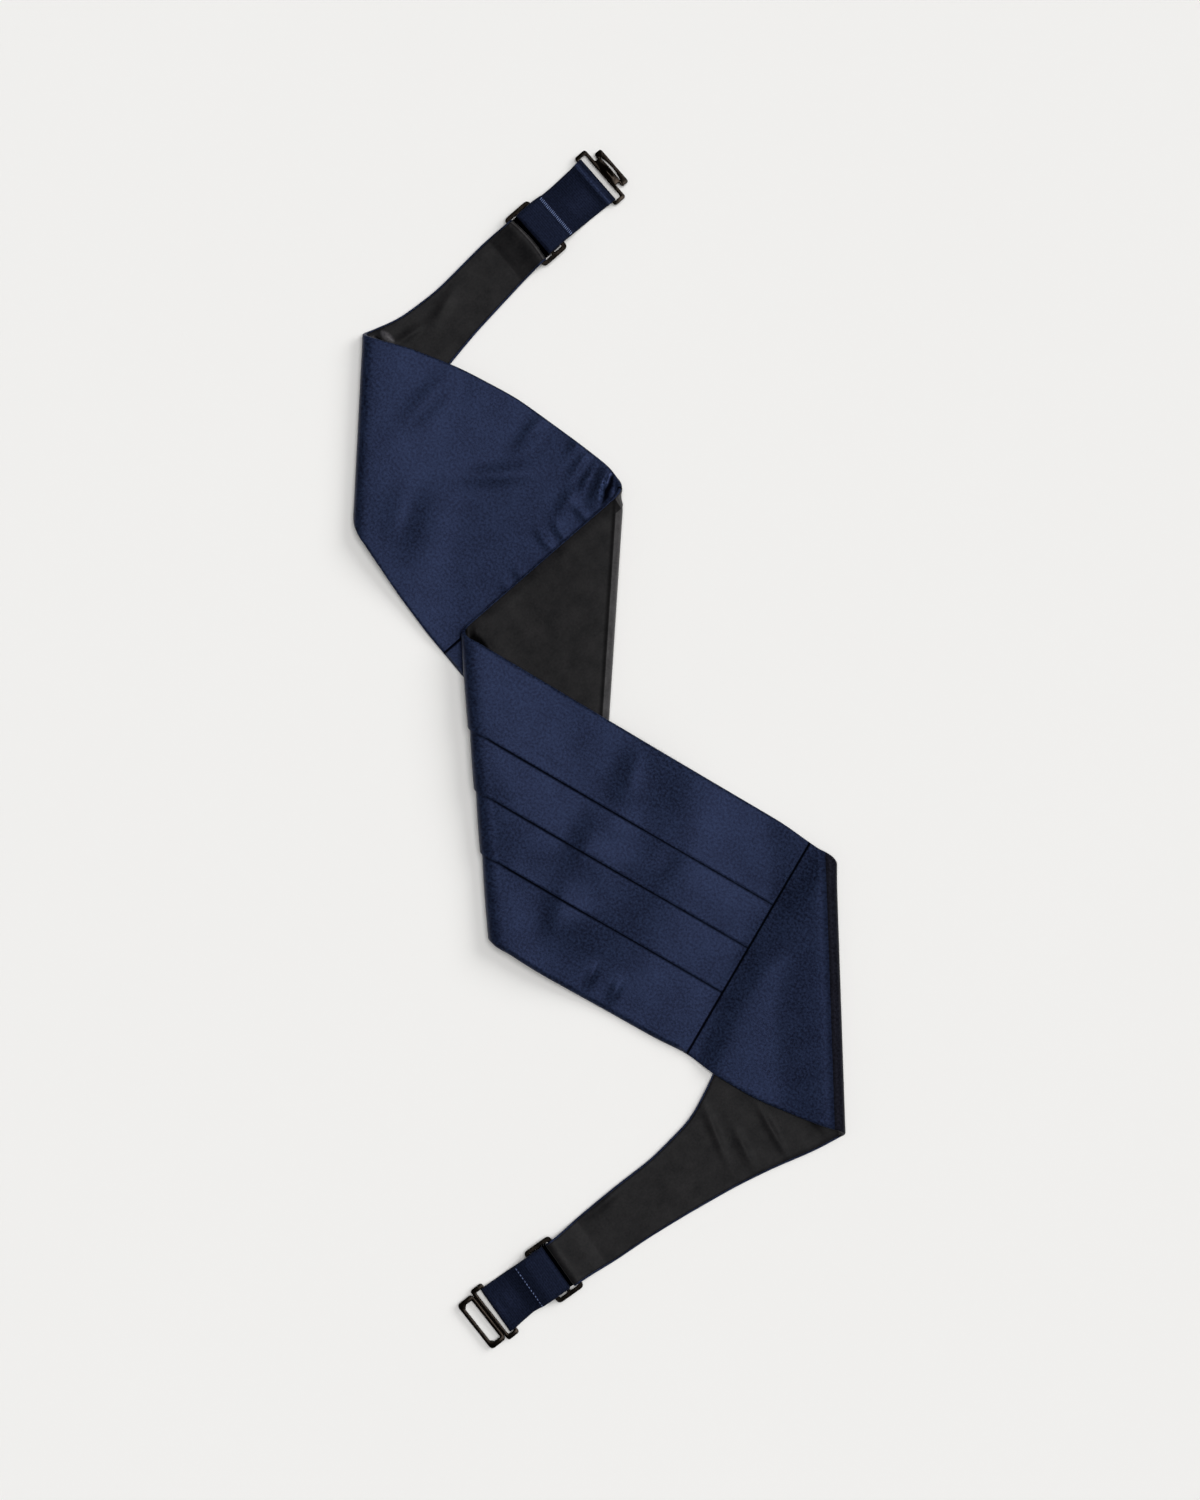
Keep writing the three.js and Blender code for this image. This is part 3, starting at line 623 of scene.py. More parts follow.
# How far each pleat's free edge stands open along the front
pleatOpening = {
    1: [(-156, 0.1), (20, 0.1), (34, 1.0), (60, 0.8), (90, 0.2), (156, 0.05)],
    2: [(-156, 0.1), (0, 0.1), (20, 0.5), (60, 0.4), (100, 0.2), (156, 0.05)],
    3: [(-156, 0.1), (-15, 0.1), (0, 0.5), (50, 0.4), (100, 0.1), (156, 0.05)],
}


# Where the painted shades start and how far they take to change, as (from, reach) in millimetres, with their
# strengths
shading = {
    "seam": (0.35, 0.35),
    "pleatRise": (4, 9),
    "pleatFall": (70, 60),
    "pleatLeast": 0.35,
    "pleatFade": 0.3,
    "pleatOpen": 0.7,
    "turnRise": (-2.4, 1.2),
    "turnFall": (-1, 3.5),
    "turn": 0.4,
    "innerLine": (0.3, 0.6),
    "innerAt": 0.6,
    "inner": 0.6,
    "dent": (0.5, 0.8),
}


def stepIn(name, value):
    begin, reach = shading[name]
    return smoothStep((value - begin) / reach)


# How much painted shade darkens the cloth in its seams, under its pleats' lips, along the last fold, in a
# line inside the second fold on the lining and in its deep tucks, from 0 to 1, and below 0 where a painted
# highlight lightens it
def paintedShadingAt(s, flat, points, section):
    # Painted shade in the seams' grooves
    shade = 1 - stepIn("seam", np.abs(np.abs(s) - halfLength))
    # The painted shadow under the pleats' lips is faint near the third fold and fades towards the seams
    fromFold = pastFold(folds[2], flat)
    least = shading["pleatLeast"]
    strength = least + (1 - least) * stepIn("pleatRise", fromFold)
    strength = strength - shading["pleatFade"] * stepIn("pleatFall", fromFold)
    # Painted shade along the inside of the last fold, next to its painted-shade band
    beforeLast = -pastFold(folds[3], flat) - shadedSatin["reach"]
    turning = stepIn("turnRise", beforeLast) * (1 - stepIn("turnFall", beforeLast))
    shade = np.maximum(shade, shading["turn"] * turning)
    # Painted shadow under each pleat's lip, darker where the lip stands open
    for index, each in enumerate(section):
        if each["shade"]:
            deep = np.full(len(s), each["shade"])
            if each["offset"] < 0:
                places, amounts = zip(*pleatOpening[each["pleat"] + 1])
                opening = np.interp(s[:, index], places, amounts)
                deep = np.minimum(deep + shading["pleatOpen"] * opening, 1)
            shade[:, index] = np.maximum(shade[:, index], deep * strength[:, index])
    # On the lining, a painted dark line of shade just inside the painted-sheen band of the second fold
    if section[0]["lift"] < 0:
        inner = np.abs(pastFold(folds[1], flat) - sheenLining["reach"] - shading["innerAt"])
        shade = np.maximum(shade, shading["inner"] * (1 - stepIn("innerLine", inner)))
    stretch = stretchOf(flat)
    # Painted shade in tucks and hollows, and painted highlight where a dent's shade is below 0
    for dent in dents:
        if "shade" in dent:
            away = turned(points[..., :2] - np.array(dent["at"], float), -math.radians(dent["heading"]))
            spread = (away[..., 0] / dent["long"]) ** 2 + (away[..., 1] / dent["wide"]) ** 2
            deep = dent["shade"] * (1 - stepIn("dent", spread))
            both = np.where(deep > 0, np.maximum(shade, deep), shade + deep)
            shade = np.where(stretch == dent["stretch"], both, shade)
    return shade


def newMesh(name, points, faces):
    mesh = bpy.data.meshes.new(name)
    mesh.from_pydata(points, [], faces)
    return mesh


# Faces between rings of points, each ring closed on itself
def tubeFaces(rings, around, first=0):
    faces = []
    for ring in range(rings - 1):
        near = first + ring * around
        far = near + around
        for step in range(around):
            after = (step + 1) % around
            faces.append((near + step, near + after, far + after, far + step))
    return faces


# The points that get the painted copy of their cloth: the band standing on edge in the last fold, the
# lining's band over the second fold's edge and the hook tail's lining over the slider's near bar
def paintedBandAt(name, s, flat):
    if name == "front_lining_cloth":
        return np.abs(pastFold(folds[1], flat)) < sheenLining["reach"]
    if name == "hook_wing_lining_cloth":
        hook = straps["hook"]
        path, travelled, _ = hook["tail"]
        crest = travelled[np.argmax(path[:, 0] > hook["sliderReach"] - hook["crest"])]
        beyond = -s - halfLength - pattern["wingLength"]
        return np.abs(beyond - crest + sheenLining["crestShift"]) < sheenLining["crestReach"]
    lastFold = -pastFold(folds[3], flat)
    return (lastFold < shadedSatin["reach"]) & (lastFold > -shadedSatin["backReach"])


def clothMesh(name, columns, least, section, split):
    count = len(section)
    total = len(columns)
    upper = columns[:, 0][:, None]
    lower = columns[:, 1][:, None]
    t = np.zeros((total, count))

    def sOf(t):
        straight = lower + (upper - lower) * (t + halfHeight) / (2 * halfHeight)
        return straight if least is None else np.maximum(straight, least[:, None])

    for _ in range(12):
        s = sOf(t)
        for index, each in enumerate(section):
            low = knots[each["low"]](s[:, index])
            high = knots[each["high"]](s[:, index])
            t[:, index] = low + each["share"] * (high - low) + each["offset"]
    s = sOf(t)
    lift = np.zeros((total, count))
    for index, each in enumerate(section):
        lift[:, index] = each["lift"]
        if each["pleat"] in pleatOpening and each["follow"]:
            places, amounts = zip(*pleatOpening[each["pleat"]])
            lift[:, index] += each["follow"] * np.interp(s[:, index], places, amounts)
    middle = (lift.min() + lift.max()) / 2
    ends = np.ones(total)
    for step, share in enumerate((0.35, 0.75, 0.95)):
        ends[step] = ends[total - 1 - step] = share
    lift = middle + (lift - middle) * ends[:, None]
    points = placed(s, t, lift)
    flat = np.stack([s, t], -1)
    faces = tubeFaces(total, count)
    for first in (0, (total - 1) * count):
        faces += capFaces(t[first // count], first, split)
    mesh = newMesh(name, (points.reshape(-1, 3) * mm).tolist(), faces)
    # The painted shade and painted highlight of each point
    painted_shading = mesh.attributes.new("painted_shading", "FLOAT", "POINT")
    painted_shading.data.foreach_set("value", paintedShadingAt(s, flat, points, section).ravel())
    # Faces whose corners all lie in the painted band get the painted copy of their cloth
    pressed = paintedBandAt(name, s, flat).ravel()
    dull = [1 if all(pressed[corner] for corner in face) else 0 for face in faces]
    finishMesh(mesh, flat.reshape(-1, 2) * mm)
    return mesh, dull


# The end of a cloth body, joined across from its upper side to its underside
def capFaces(t, first, split):
    faces = []
    a, b = 0, len(t) - 1
    while a < split - 1 or b > split:
        nextA = t[a + 1] if a < split - 1 else math.inf
        nextB = t[b - 1] if b > split else math.inf
        if nextA <= nextB:
            faces.append([first + a, first + a + 1, first + b])
            a += 1
        else:
            faces.append([first + a, first + b - 1, first + b])
            b -= 1
    return faces


def finishMesh(mesh, uv=None, sharp=50):
    if uv is not None:
        layer = mesh.uv_layers.new(name="pattern")
        corners = np.zeros(len(mesh.loops), int)
        mesh.loops.foreach_get("vertex_index", corners)
        layer.data.foreach_set("uv", uv[corners].ravel())
    form = bmesh.new()
    form.from_mesh(mesh)
    bmesh.ops.recalc_face_normals(form, faces=form.faces)
    form.to_mesh(mesh)
    form.free()
    mesh.polygons.foreach_set("use_smooth", np.ones(len(mesh.polygons), bool))
    mesh.set_sharp_from_angle(angle=math.radians(sharp))
    mesh.update()


def linear(code):
    shares = [int(code[place:place + 2], 16) / 255 for place in (1, 3, 5)]
    colour = [share / 12.92 if share <= 0.04045 else ((share + 0.055) / 1.055) ** 2.4 for share in shares]
    return colour + [1.0]


def addNode(tree, kind, settings=None, links=None):
    node = tree.nodes.new(kind)
    for name, value in (settings or {}).items():
        if name == "ramp":
            for element, (place, code) in zip(node.color_ramp.elements, value):
                element.position = place
                element.color = linear(code)
        elif isinstance(name, int) or name in node.inputs:
            node.inputs[name].default_value = value
        else:
            setattr(node, name, value)
    for name, source in (links or {}).items():
        tree.links.new(source, node.inputs[name])
    return node


def newMaterial(name, shaderSettings):
    material = bpy.data.materials.new(name)
    material.use_nodes = True
    tree = material.node_tree
    tree.nodes.clear()
    shader = addNode(tree, "ShaderNodeBsdfPrincipled", shaderSettings)
    addNode(tree, "ShaderNodeOutputMaterial", links={"Surface": shader.outputs[0]})
    return material, tree, shader


# Painted shade and highlight: the painted_shading attribute darkens the colour in seams, the insides of
# pleats and deep tucks and takes their gloss; below 0 it lightens the colour and adds gloss
def applyPaintedShading(tree, colour, shader, roughness):
    painted_shading = addNode(tree, "ShaderNodeAttribute", {"attribute_name": "painted_shading"})
    dull = addNode(tree, "ShaderNodeMath", {"operation": "MULTIPLY_ADD", 1: 1 - roughness, 2: roughness},
                   {0: painted_shading.outputs["Fac"]})
    gloss = addNode(tree, "ShaderNodeMath", {"operation": "MAXIMUM", 1: 0.3}, {0: dull.outputs[0]})
    tree.links.new(gloss.outputs[0], shader.inputs["Roughness"])
    keep = addNode(tree, "ShaderNodeMath", {"operation": "SUBTRACT", 0: 1.0}, {1: painted_shading.outputs["Fac"]})
    shaded = addNode(tree, "ShaderNodeVectorMath", {"operation": "SCALE"},
                     {0: colour.outputs[0], "Scale": keep.outputs[0]})
    tree.links.new(shaded.outputs[0], shader.inputs["Base Color"])


# Woven polyester satin: a smooth dull face with a fine salt-and-pepper grain. The threads of the weave,
# about 0.1 mm apart, are too fine to show, so the grain is drawn at 1.3 mm
satinFinish = {
    "dark": "#060813", "light": "#1f283e", "ramp": (0.48, 0.76), "roughness": 0.44, "specular": 0.31,
    "tint": "#a0b4ff", "sheen": 0.0, "grainMm": 1.3, "grain": {"Detail": 3.0, "Roughness": 0.7},
    "cloudMm": 13.0, "cloud": {"Detail": 2.0}, "grainShare": 1.0, "cloudShare": 0.22, "bumpMm": 0.07,
    "bumpStrength": 0.8, "cloudBumpMm": 0.14,
}
# A darker, less glossy copy of the satin, painted shade for the band where it stands on edge in the last
# fold: its floats face away and it looks dull and brown
shadedSatin = {**satinFinish, "dark": "#07070c", "light": "#191a23", "specular": 0.17, "tint": "#a0a0b8",
                "reach": 7.6, "backReach": 4}
# Plain woven acetate lining: flat and near black, with a faint cloudy bloom from handling. Its weave is
# too fine to show as well and is drawn at 1.2 mm
liningFinish = {
    "dark": "#0d0d0f", "light": "#201f20", "ramp": (0.5, 1.0), "roughness": 0.45, "specular": 0.1,
    "tint": "#ffffff", "sheen": 0.05, "grainMm": 1.2, "grain": {"Detail": 2.0}, "cloudMm": 9.0,
    "cloud": {"Detail": 4.0, "Roughness": 0.6}, "grainShare": 0.5, "cloudShare": 1.0, "bumpMm": 0.06,
    "bumpStrength": 0.7, "cloudBumpMm": 0.12,
}
# A paler, glossier copy of the lining, painted sheen where it turns over the edge of the second fold
# and over the hook slider's bar, where it looks greyer
sheenLining = {**liningFinish, "dark": "#2c2b2c", "light": "#464546", "specular": 0.2, "reach": 4.8,
                 "crestReach": 0.9, "crestShift": 0.5}


def makeCloth(name, look):
    material, tree, shader = newMaterial(name, {
        "Roughness": look["roughness"], "Specular IOR Level": look["specular"],
        "Specular Tint": linear(look["tint"]), "Sheen Weight": look["sheen"]})
    place = addNode(tree, "ShaderNodeUVMap", {"uv_map": "pattern"})
    grain, cloud = [addNode(tree, "ShaderNodeTexNoise", {"Scale": 1 / (look[size + "Mm"] * mm), **look[size]},
                            {"Vector": place.outputs[0]}) for size in ("grain", "cloud")]
    part = addNode(tree, "ShaderNodeMath", {"operation": "MULTIPLY", 1: look["cloudShare"]},
                   {0: cloud.outputs[0]})
    both = addNode(tree, "ShaderNodeMath", {"operation": "MULTIPLY_ADD", 1: look["grainShare"]},
                   {0: grain.outputs[0], 2: part.outputs[0]})
    colour = addNode(tree, "ShaderNodeValToRGB",
                     {"ramp": list(zip(look["ramp"], (look["dark"], look["light"])))},
                     {"Fac": both.outputs[0]})
    bump = addNode(tree, "ShaderNodeBump", {
        "Distance": look["bumpMm"] * mm, "Strength": look["bumpStrength"]}, {"Height": grain.outputs[0]})
    slack = addNode(tree, "ShaderNodeBump", {"Distance": look["cloudBumpMm"] * mm, "Strength": 0.8},
                    {"Height": cloud.outputs[0], "Normal": bump.outputs[0]})
    applyPaintedShading(tree, colour, shader, look["roughness"])
    tree.links.new(slack.outputs[0], shader.inputs["Normal"])
    return material


# Woven ribbon: tight cross ribs that catch a thin light. Real ribs of about 0.5 mm are too fine to show
# and are drawn at 1.1 mm
ribbonFinish = {"dark": "#0a0d18", "light": "#191f30", "ribMm": 1.1, "grainMm": 1.0, "bumpMm": 0.06,
                "roughness": 0.45, "specular": 0.09, "specularTint": "#a0b4ff", "sheen": 0.0}


def makeRibbon():
    look = ribbonFinish
    material, tree, shader = newMaterial("woven_ribbon", {
        "Roughness": look["roughness"], "Specular IOR Level": look["specular"],
        "Specular Tint": linear(look["specularTint"]), "Sheen Weight": look["sheen"]})
    place = addNode(tree, "ShaderNodeUVMap", {"uv_map": "pattern"})
    ribs = addNode(tree, "ShaderNodeTexWave", {"wave_type": "BANDS", "bands_direction": "X",
                   "Scale": 2 * math.pi / (20 * look["ribMm"] * mm), "Distortion": 0.5, "Detail": 1.0},
                   {"Vector": place.outputs[0]})
    grain = addNode(tree, "ShaderNodeTexNoise", {"Scale": 1 / (look["grainMm"] * mm), "Detail": 3.0},
                    {"Vector": place.outputs[0]})
    both = addNode(tree, "ShaderNodeMath", {"operation": "MULTIPLY_ADD", 1: 0.2},
                   {0: ribs.outputs[1], 2: grain.outputs[0]})
    colour = addNode(tree, "ShaderNodeValToRGB", {"ramp": [(0.4, look["dark"]), (0.85, look["light"])]},
                     {"Fac": both.outputs[0]})
    bump = addNode(tree, "ShaderNodeBump", {"Distance": look["bumpMm"] * mm, "Strength": 0.7},
                   {"Height": both.outputs[0]})
    applyPaintedShading(tree, colour, shader, look["roughness"])
    tree.links.new(bump.outputs[0], shader.inputs["Normal"])
    return material


# Black-nickel-plated steel, tumbled smooth: dark mirror flats and thin bright lines along the edges
metalFinish = {"dark": "#110f0d", "light": "#241f1b", "cloudMm": 3.0, "roughness": 0.2}


def makeMetal():
    look = metalFinish
    material, tree, shader = newMaterial("black_nickel_plate", {
        "Metallic": 1.0, "Roughness": look["roughness"]})
    place = addNode(tree, "ShaderNodeTexCoord")
    cloud = addNode(tree, "ShaderNodeTexNoise", {"Scale": 1 / (look["cloudMm"] * mm), "Detail": 3.0},
                    {"Vector": place.outputs["Object"]})
    colour = addNode(tree, "ShaderNodeValToRGB", {"ramp": [(0.3, look["dark"]), (0.7, look["light"])]},
                     {"Fac": cloud.outputs[0]})
    bump = addNode(tree, "ShaderNodeBump", {"Distance": 0.02 * mm, "Strength": 0.4},
                   {"Height": cloud.outputs[0]})
    tree.links.new(colour.outputs[0], shader.inputs["Base Color"])
    tree.links.new(bump.outputs[0], shader.inputs["Normal"])
    return material


# Spun polyester sewing thread: paler than the cloth, with a dull twist. The real twist is too fine to
# show and is drawn at 0.5 mm
threadFinish = {"dark": "#36415f", "light": "#7383ac", "twistMm": 0.5, "roughness": 0.6}


def makeThread():
    look = threadFinish
    material, tree, shader = newMaterial("polyester_thread", {"Roughness": look["roughness"],
                                         "Specular IOR Level": 0.3})
    place = addNode(tree, "ShaderNodeTexCoord")
    grain = addNode(tree, "ShaderNodeTexNoise", {"Scale": 1 / (look["twistMm"] * mm), "Detail": 2.0},
                    {"Vector": place.outputs["Object"]})
    colour = addNode(tree, "ShaderNodeValToRGB", {"ramp": [(0.35, look["dark"]), (0.65, look["light"])]},
                     {"Fac": grain.outputs[0]})
    tree.links.new(colour.outputs[0], shader.inputs["Base Color"])
    return material


satinMaterial = makeCloth("woven_satin", satinFinish)
shadedSatinMaterial = makeCloth("pressed_satin", shadedSatin)
liningMaterial = makeCloth("acetate_lining", liningFinish)
sheenLiningMaterial = makeCloth("sheen_lining", sheenLining)
ribbonMaterial = makeRibbon()
metalMaterial = makeMetal()
threadMaterial = makeThread()
print("materials ready")


def addPiece(name, mesh, materials, slotName, *nodes):
    piece = bpy.data.objects.new(name, mesh)
    bpy.context.scene.collection.objects.link(piece)
    for material in materials:
        mesh.materials.append(material)
    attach(piece, "root")
    if nodes:
        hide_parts(*nodes)
    return piece


def addCloths():
    front, least = frontColumns()
    hookWing = wingColumns(-1, folds[0])
    eyeWing = wingColumns(1, folds[3])
    pleated, pleatedSplit = satinSection(True)
    flat, flatSplit = satinSection(False)
    lining, liningSplit = liningSection()
    wide, high, reach = 0.312, 0.127, 0.242
    made = [
        ("front_satin_cloth", front, least, pleated, pleatedSplit, satinMaterial, "satin", "front_satin",
         (wide, high), 0.99 * wide * high),
        ("front_lining_cloth", front, least, lining, liningSplit, liningMaterial, "lining",
         "front_lining", (wide, high), 0.97 * wide * high),
        ("hook_wing_satin_cloth", hookWing, None, flat, flatSplit, satinMaterial, "satin",
         "hook_wing_satin", (reach, high), 0.64 * reach * high),
        ("hook_wing_lining_cloth", hookWing, None, lining, liningSplit, liningMaterial, "lining",
         "hook_wing_lining", (reach, high), 0.62 * reach * high),
        ("eye_wing_satin_cloth", eyeWing, None, flat, flatSplit, satinMaterial, "satin",
         "eye_wing_satin", (reach, high), 0.62 * reach * high),
        ("eye_wing_lining_cloth", eyeWing, None, lining, liningSplit, liningMaterial, "lining",
         "eye_wing_lining", (reach, high), 0.6 * reach * high),
    ]
    for name, columns, leasts, section, split, material, slotName, node, flatSize, area in made:
        mesh, dull = clothMesh(name, columns, leasts, section, split)
        piece = addPiece(name, mesh, [material], slotName, node)
        # The painted band gets the painted-shade copy of the satin or the painted-sheen copy of the lining
        if any(dull):
            mesh.materials.append(shadedSatinMaterial if material is satinMaterial else sheenLiningMaterial)
            mesh.polygons.foreach_set("material_index", dull)
        print("made", name, len(mesh.polygons), "faces")


addCloths()

metal = {
    "thickness": 1.5,
    "round": 0.45,
    "sliderLength": 31.2,
    "sliderWidth": 15.8,
    "sliderBar": 2.3,
    "middleBar": 1.6,
    "openingHalf": 13.3,
    "sliderCorner": 2.6,
    "loopLength": 31.3,
    "loopWidth": 7.1,
    "loopNearBar": 1.4,
    "loopFarBar": 1.9,
    "loopCorner": 1.6,
    "neckWidth": 15.7,
    "neckLength": 1.8,
    "headLength": 21.5,
    "headWidth": 4.3,
    "headCorner": 1.4,
    "domeLength": 12.4,
    "domeRise": 0.8,
    "slitLength": 16.0,
    "slitWidth": 1.0,
    "slitBulge": 1.3,
    "ringLength": 28.3,
    "ringWidth": 9.5,
    "openingLength": 23.0,
    "openingWidth": 5.2,
    "ringCorner": 2.4,
    "sliderLevel": 2.6,
    "claspLevel": 1.3,
    "slotCorner": 0.9,
    "slotSpare": 0.3,
    "neckCorner": 0.6,
    "slitFrom": 0.3,
    "slitSteps": 16,
    "hookRound": 0.35,
    "eyeLoopRound": 0.4,
    "domeGap": 0.2,
    "domeSink": 0.05,
    "plateGap": 0.05,
    "bridgeCorner": 0.2,
    "bridgeHalf": 12,
    "bridgeLip": 1,
    "bridgeLift": 0.2,
    "bridgeThinner": 0.8,
    "bridgeRound": 0.1,
    "eyeLean": 3,
    "sharp": 40,
}


# A closed outline through corners, each rounded by its own radius
def roundedOutline(corners):
    points = []
    for index, (x, y, radius) in enumerate(corners):
        here = Vector((x, y))
        before = Vector(corners[index - 1][:2]) - here
        after = Vector(corners[(index + 1) % len(corners)][:2]) - here
        if radius == 0:
            points.append(here)
            continue
        half = before.angle(after) / 2
        reach = min(radius / math.tan(half), before.length / 2, after.length / 2)
        start = here + before.normalized() * reach
        end = here + after.normalized() * reach
        for step in range(7):
            share = step / 6
            bend = (1 - share) ** 2 * start + 2 * share * (1 - share) * here + share ** 2 * end
            points.append(bend)
    return points


def box2d(left, right, half, corner):
    return roundedOutline([(left, -half, corner), (right, -half, corner), (right, half, corner),
                           (left, half, corner)])


# A stamped plate: outlines, the first outside and the rest holes, with its edges rounded
def plateMesh(name, outlines, level, roundBy, thickness):
    curve = bpy.data.curves.new(name, "CURVE")
    curve.dimensions = "2D"
    curve.fill_mode = "BOTH"
    curve.extrude = thickness / 2 - roundBy
    curve.bevel_depth = roundBy
    curve.offset = -roundBy
    curve.bevel_resolution = 3
    for outline in outlines:
        spline = curve.splines.new("POLY")
        spline.points.add(len(outline) - 1)
        for point, (x, y) in zip(spline.points, outline):
            point.co = (x, y, 0, 1)
        spline.use_cyclic_u = True
    holder = bpy.data.objects.new(name, curve)
    bpy.context.scene.collection.objects.link(holder)
    bpy.context.view_layer.update()
    mesh = bpy.data.meshes.new_from_object(holder.evaluated_get(bpy.context.evaluated_depsgraph_get()))
    bpy.data.objects.remove(holder)
    bpy.data.curves.remove(curve)
    mesh.transform(Matrix.Translation((0, 0, level + thickness / 2)))
    return mesh


def joined(name, meshes):
    form = bmesh.new()
    for mesh in meshes:
        form.from_mesh(mesh)
    bmesh.ops.remove_doubles(form, verts=form.verts, dist=0.002)
    result = bpy.data.meshes.new(name)
    form.to_mesh(result)
    form.free()
    return result


# From millimetres along and across a strap to metres on the table
def layAlong(mesh, strap, reach, turn=0.0):
    origin = strap["origin"] + shift
    place = Matrix.Translation((origin[0], origin[1], 0)) @ Matrix.Rotation(strap["angle"], 4, "Z")
    place = place @ Matrix.Translation((reach, 0, 0)) @ Matrix.Rotation(turn, 4, "Z")
    mesh.transform(Matrix.Scale(mm, 4) @ place)
    return mesh


def sliderMesh(name, strap):
    look = metal
    halfWide = look["sliderWidth"] / 2
    inner = look["middleBar"] / 2
    slot = look["sliderWidth"] / 2 - look["sliderBar"] - inner
    opening = look["openingHalf"]
    outlines = [box2d(-halfWide, halfWide, look["sliderLength"] / 2, look["sliderCorner"])]
    for side in (-1, 1):
        near, far = side * inner, side * (inner + slot)
        outlines.append(box2d(min(near, far), max(near, far), opening, look["slotCorner"]))
    mesh = plateMesh(name, outlines, look["sliderLevel"], look["round"], look["thickness"])
    return layAlong(mesh, strap, strap["sliderReach"])


def loopSlot(strap):
    look = metal
    slotEnd = look["loopWidth"] - look["loopFarBar"]
    return box2d(look["loopNearBar"], slotEnd, strap["width"] / 2 + look["slotSpare"], look["slotCorner"])


def hookMesh(strap):
    look = metal
    end = look["loopWidth"]
    neck = end + look["neckLength"]
    tip = neck + look["headWidth"]
    loopHalf, neckHalf, headHalf = look["loopLength"] / 2, look["neckWidth"] / 2, look["headLength"] / 2
    corner, neckCorner, headCorner = look["loopCorner"], look["neckCorner"], look["headCorner"]
    half = [(0, -loopHalf, corner), (end, -loopHalf, corner), (end, -neckHalf, neckCorner),
            (neck, -neckHalf, neckCorner), (neck, -headHalf, headCorner), (tip, -headHalf, headCorner)]
    outer = roundedOutline(half + [(x, -y, radius) for x, y, radius in reversed(half)])
    slitStart = neck + look["headWidth"] * look["slitFrom"]
    slit = []
    slitTip = slitStart + 2 * look["slitBulge"]
    for control, way in ((slitTip, 1), (slitTip - 2 * look["slitWidth"], -1)):
        for step in range(look["slitSteps"]):
            share = step / look["slitSteps"]
            y = way * look["slitLength"] * (share - 0.5)
            x = slitStart + 2 * share * (1 - share) * (control - slitStart)
            slit.append((x, y))
    plate = plateMesh("hook_plate", [outer, loopSlot(strap), slit], look["claspLevel"],
                      look["hookRound"], look["thickness"])
    return joined("clasp_hook_metal", [plate, domeMesh(slitStart)])


# The tongue that the slit frees, pressed up into a low dome
def domeMesh(slitStart):
    look = metal
    start = look["loopWidth"] - look["loopFarBar"] + look["domeGap"]
    wide = slitStart + look["slitBulge"] - look["slitWidth"] - start
    middle = start + wide / 2
    points = []
    rings, around = 10, 40
    top = look["claspLevel"] + look["thickness"] - look["domeSink"]
    for ring in range(rings + 1):
        reach = ring / rings
        rise = look["domeRise"] * (1 - smoothStep(reach))
        for step in range(around):
            angle = 2 * math.pi * step / around
            points.append((middle + reach * wide / 2 * math.cos(angle),
                           reach * look["domeLength"] / 2 * math.sin(angle), top + rise))
    return newMesh("dome", points, tubeFaces(rings + 1, around))


def eyeMesh(strap):
    look = metal
    gap = look["plateGap"]
    loop = box2d(0, look["loopWidth"] - gap, look["loopLength"] / 2, look["loopCorner"])
    loopPlate = plateMesh("eye_loop", [loop, loopSlot(strap)], look["claspLevel"], look["eyeLoopRound"],
                          look["thickness"])
    ringStart = look["loopWidth"] + gap
    ringEnd = look["loopWidth"] + look["ringWidth"]
    ring = box2d(ringStart, ringEnd, look["ringLength"] / 2, look["ringCorner"])
    start = look["loopWidth"] + (look["ringWidth"] - look["openingWidth"]) / 2
    end = start + look["openingWidth"]
    cut = look["openingWidth"] / 3
    half = look["openingLength"] / 2
    opening = roundedOutline([(start, -half, 0.5), (end - cut, -half, 0.3), (end, -half + cut, 0.3),
                              (end, half - cut, 0.3), (end - cut, half, 0.3), (start, half, 0.5)])
    ringPlate = plateMesh("eye_ring", [ring, opening], look["claspLevel"], look["round"], look["thickness"])
    lip = look["bridgeLip"]
    join = box2d(look["loopWidth"] - lip, look["loopWidth"] + lip, look["bridgeHalf"], look["bridgeCorner"])
    bridge = plateMesh("eye_bridge", [join], look["claspLevel"] + look["bridgeLift"], look["bridgeRound"],
                       look["thickness"] - look["bridgeThinner"])
    return joined("clasp_eye_metal", [loopPlate, ringPlate, bridge])


def addMetal():
    hook, eye = straps["hook"], straps["eye"]
    made = {
        "hook_slider": sliderMesh("hook_slider_metal", hook),
        "eye_slider": sliderMesh("eye_slider_metal", eye),
        "clasp_hook": layAlong(hookMesh(hook), hook, hook["sliderReach"] + hook["loopReach"]),
        "clasp_eye": layAlong(eyeMesh(eye), eye, eye["sliderReach"] + eye["loopReach"],
                              math.radians(metal["eyeLean"])),
    }
    for node, mesh in made.items():
        finishMesh(mesh, sharp=metal["sharp"])
        addPiece(node + "_metal", mesh, [metalMaterial], "metal", node)
    print("made the metal")


addMetal()

webbing = {"wall": 0.8, "gap": 0.25, "cornerRound": 1.4, "edgeRound": 0.3, "step": 0.7, "fall": 2.6,
           "barClear": 1.6, "bend": 0.55, "inSlot": 0.6, "steps": 12, "edgeInset": 0.1, "edgeShare": 0.6,
           "foldBack": 0.8, "slope": 5, "crestAt": 1.2, "crestHigh": 0.6, "crestHalf": 1.6,
           "slotSide": 0.3, "slotRise": 0.2, "slotFade": 1.2}


